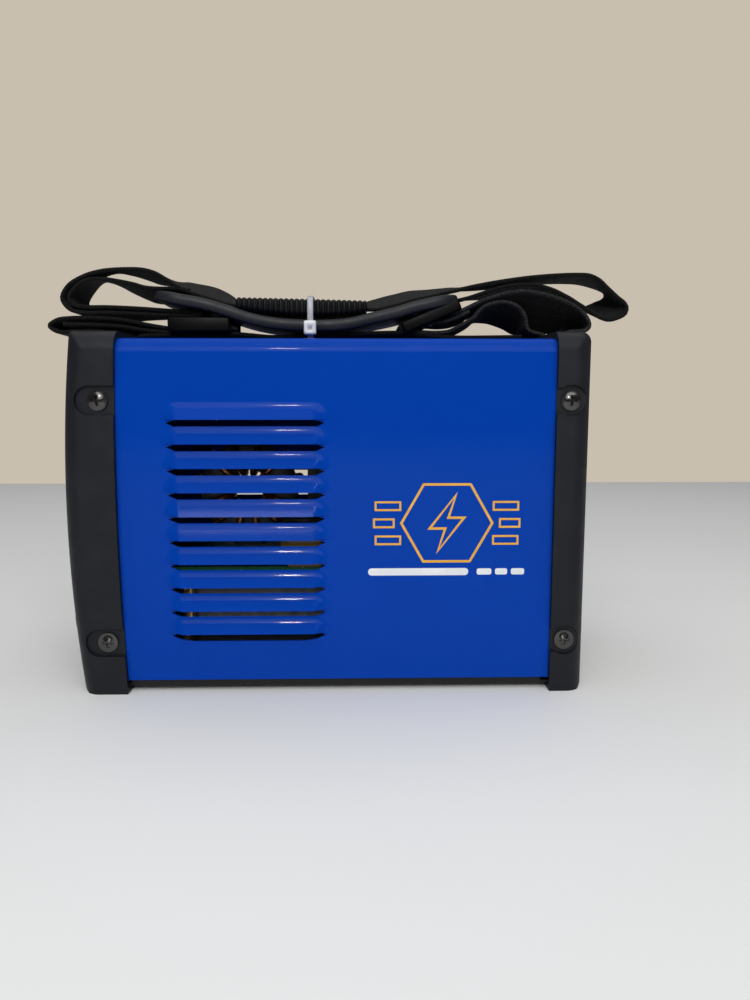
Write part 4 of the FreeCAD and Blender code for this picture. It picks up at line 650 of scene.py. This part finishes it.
def make_tie_band():
    """Nylon band round the whole bundle."""
    loop = TIE_HALF_LOOP + [(-y, z) for y, z in reversed(TIE_HALF_LOOP[1:-1])]
    from_near_corner = loop[-2:] + loop[:-2]
    path = smooth_path(from_near_corner, 0.8, closed=True)[:-1]
    rings = []
    for number, spot in enumerate(path):
        ahead = (path[(number + 1) % len(path)] - path[number - 1]).normalized()
        out = Vector((ahead.y, -ahead.x))
        rings.append([(TIE_X + across, spot.x + out.x * up, spot.y + out.y * up)
                      for across, up in TIE_SECTION])
    mesh = loft("tie_band", rings + rings[:1], closed_ends=False)
    work = bmesh.new()
    work.from_mesh(mesh)
    bmesh.ops.remove_doubles(work, verts=work.verts, dist=1e-6)
    work.to_mesh(mesh)
    work.free()
    thin_nylon = moulded("thin_nylon", (0.34, 0.34, 0.37), 0.35, grain=0.02, grain_scale=1200)
    new_object("tie_band", mesh, thin_nylon, replaces=["cable_tie"])


def make_tie_head():
    """Locking head at the front of the bundle, with the hollow that the band's end came through."""
    low, high, half_wide = 147.3, 153.1, 2.6
    rings = []
    for y, grow in TIE_HEAD_RINGS:
        section = rounded_section(half_wide + grow, low - grow, high + grow, 0.7, 4)
        rings.append([(TIE_X + x, y, z) for x, z in section])
    front_y, back_y = TIE_HEAD_RINGS[-1][0], -21.6
    hole = [(TIE_X + x, front_y, z) for x, z in rounded_section(0.8, 149.0, 150.4, 0.3, 4)]
    hole_end = [(x, back_y, z) for x, _, z in hole]
    mesh = loft("tie_head", rings + [hole, hole_end])
    new_object("tie_head", mesh, FINISHES["clear_nylon"])


def add_block(work, x, y, z, turn):
    """Round-edged block from (low, high) pairs, turned in the strap's plane."""
    made = bmesh.ops.create_cube(work, size=1.0)["verts"]
    middle = Vector([(low + high) / 2 for low, high in (x, y, z)])
    size = [high - low for low, high in (x, y, z)]
    bmesh.ops.scale(work, verts=made, vec=size)
    bmesh.ops.translate(work, verts=made, vec=middle)
    edges = list({edge for vert in made for edge in vert.link_edges})
    rounded = bmesh.ops.bevel(work, geom=edges, offset=min(size) * 0.3, segments=3, affect="EDGES",
                              profile=0.5)
    verts = list({vert for face in rounded["faces"] for vert in face.verts})
    bmesh.ops.transform(work, matrix=turn, verts=verts)


def finish_blocks(name, work):
    """Mesh in metres of blocks that were laid out in millimetres."""
    mesh = bpy.data.meshes.new(name)
    bmesh.ops.scale(work, verts=work.verts, vec=(MM, MM, MM))
    work.to_mesh(mesh)
    work.free()
    return mesh


SLIDERS = ((-58.1, 152.5, 0.0, -3.8, 2.8), (41.9, 155.8, 23.0, -2.6, 2.6))  # x, z, tilt, rail's low and high


def make_sliders():
    """Two moulded slides: two side rails each, with the webbing threaded over the three bars between them."""
    half_length, rail_inner, rail_outer = 13.4, 13.1, 16.6
    bar_half, bar_reach = 1.3, 14.0
    work = bmesh.new()
    for x, z, tilt, low, high in SLIDERS:
        turn = Matrix.Translation((x, 0.0, z)) @ Matrix.Rotation(math.radians(-tilt), 4, "Y")
        for side in (-1, 1):
            rail = sorted((side * rail_inner, side * rail_outer))
            add_block(work, (-half_length, half_length), rail, (low, high), turn)
        for along in (-11.2, 0.0, 11.2):
            add_block(work, (along - bar_half, along + bar_half), (-bar_reach, bar_reach),
                      (-bar_half, bar_half), turn)
    new_object("webbing_sliders", finish_blocks("webbing_sliders", work), FINISHES["slider_plastic"],
               replaces=["strap_sliders"])


def make_stitches():
    """A short row of white thread on the underside of the rear strap's end."""
    count, pitch, rise, slope = 4, 2.0, 0.26, 16.0
    first_x, row_y, first_z = 42.5, -7.0, 152.45
    work = bmesh.new()
    for number in range(count):
        x = first_x + number * pitch
        spot = (x, row_y, first_z + (x - first_x) * rise)
        turn = Matrix.Translation(spot) @ Matrix.Rotation(-math.radians(slope), 4, "Y")
        add_block(work, (-0.75, 0.75), (-0.3, 0.3), (-0.25, 0.25), turn)
    thread_and_ridge_highlight = moulded("white_thread", (0.62, 0.62, 0.60), 0.6, grain=0.02, grain_scale=1500)
    new_object("white_stitches", finish_blocks("white_stitches", work), thread_and_ridge_highlight)


# ---------------------------------------------------------------- the printed mark

PRINT_BACK, PRINT_DEPTH = -47.2, 0.06  # the y of the print's back in the cover's side, and its depth
MARK_X, MARK_Z = 46.0, 70.3
BARS_LOW, BARS_HIGH = 48.9, 51.5


def stroke(points, wide):
    """Quads of a closed line of even width through points, mitred at its corners, as a list of outlines."""
    spots = [Vector(p) for p in points]
    count = len(spots)
    left, right = [], []
    for i, spot in enumerate(spots):
        before = (spot - spots[i - 1]).normalized()
        after = (spots[(i + 1) % count] - spot).normalized()
        normal = Vector((-before.y, before.x)) + Vector((-after.y, after.x))
        normal = normal.normalized()
        reach = wide / 2 / max(0.35, normal.dot(Vector((-after.y, after.x))))
        left.append(spot + normal * reach)
        right.append(spot - normal * reach)
    return [(left[i], left[(i + 1) % count], right[(i + 1) % count], right[i]) for i in range(count)]


def printed(name, outlines, finish):
    """One printed figure made of several flat outlines that stand a hair proud of the paint."""
    mesh = bpy.data.meshes.new(name)
    work = bmesh.new()
    for outline in outlines:
        back, front = [[work.verts.new(Vector((x, y, z)) * MM) for x, z in outline]
                       for y in (PRINT_BACK, PRINT_BACK - PRINT_DEPTH)]
        count = len(outline)
        work.faces.new(front)
        work.faces.new(list(reversed(back)))
        for i in range(count):
            work.faces.new((back[i], back[(i + 1) % count], front[(i + 1) % count], front[i]))
    bmesh.ops.remove_doubles(work, verts=work.verts, dist=1e-7)
    bmesh.ops.recalc_face_normals(work, faces=work.faces)
    work.to_mesh(mesh)
    work.free()
    new_object(name, mesh, finish)
    for face in mesh.polygons:
        face.use_smooth = False


def bar(x0, x1, z0, z1, round_by=1.4):
    """Outline of a bar with round ends."""
    middle_x, middle_z = (x0 + x1) / 2, (z0 + z1) / 2
    half_x, half_z = (x1 - x0) / 2, (z1 - z0) / 2
    corner = min(round_by, half_z, half_x)
    return [(middle_x + y, middle_z + z) for y, z in rounded_section(half_x, -half_z, half_z, corner, 5)]


def make_mark():
    """Plain generic print: an outlined spark in a hexagon, with bars beside and below."""
    gold = moulded("gold_print", (0.72, 0.36, 0.03), 0.4, grain=0.01, grain_scale=1200)
    white = moulded("white_print", (0.72, 0.74, 0.76), 0.45, grain=0.01, grain_scale=1200)
    hexagon = ((18.5, 0.0), (9.5, 15.8), (-9.5, 15.8), (-18.5, 0.0), (-9.5, -15.8), (9.5, -15.8))
    spark = ((3.6, 11.5), (-7.0, -2.2), (-0.6, -2.2), (-3.6, -11.5), (7.0, 2.2), (0.6, 2.2))
    outlines = []
    for figure in (hexagon, spark):
        outlines += stroke([(MARK_X + x, MARK_Z + z) for x, z in figure], 1.0)
    half_high = 1.6
    for way in (-1, 1):
        for row, length in ((-7.0, 10.0), (0.0, 8.0), (7.0, 10.0)):
            inner = MARK_X + way * (21.6 - abs(row) * 0.38)
            outer = inner + way * length
            x0, x1 = min(inner, outer), max(inner, outer)
            z0, z1 = MARK_Z + row - half_high, MARK_Z + row + half_high
            outlines += stroke([(x0, z0), (x1, z0), (x1, z1), (x0, z1)], 0.8)
    printed("gold_mark", outlines, gold)
    bars = [bar(14.0, 55.0, 48.7, 51.7)]
    for x0, x1 in ((58.5, 64.5), (66.0, 71.0), (72.5, 78.0)):
        bars.append(bar(x0, x1, BARS_LOW, BARS_HIGH, 0.8))
    printed("white_bars", bars, white)


# ---------------------------------------------------------------- everything in place

add_camera()
finish_nodes()
make_floor()
make_world()
scene.view_settings.view_transform = "Standard"
add_lights()

make_webbing("woven_main_strap", MAIN_ROUTE)
make_webbing("woven_front_anchor_strap", FRONT_ROUTE)
make_webbing("woven_rear_anchor_strap", REAR_ROUTE, EDGE_LIT_WEB)
make_pad()
make_grip()
make_tie_band()
make_tie_head()
make_sliders()
make_stitches()
make_mark()
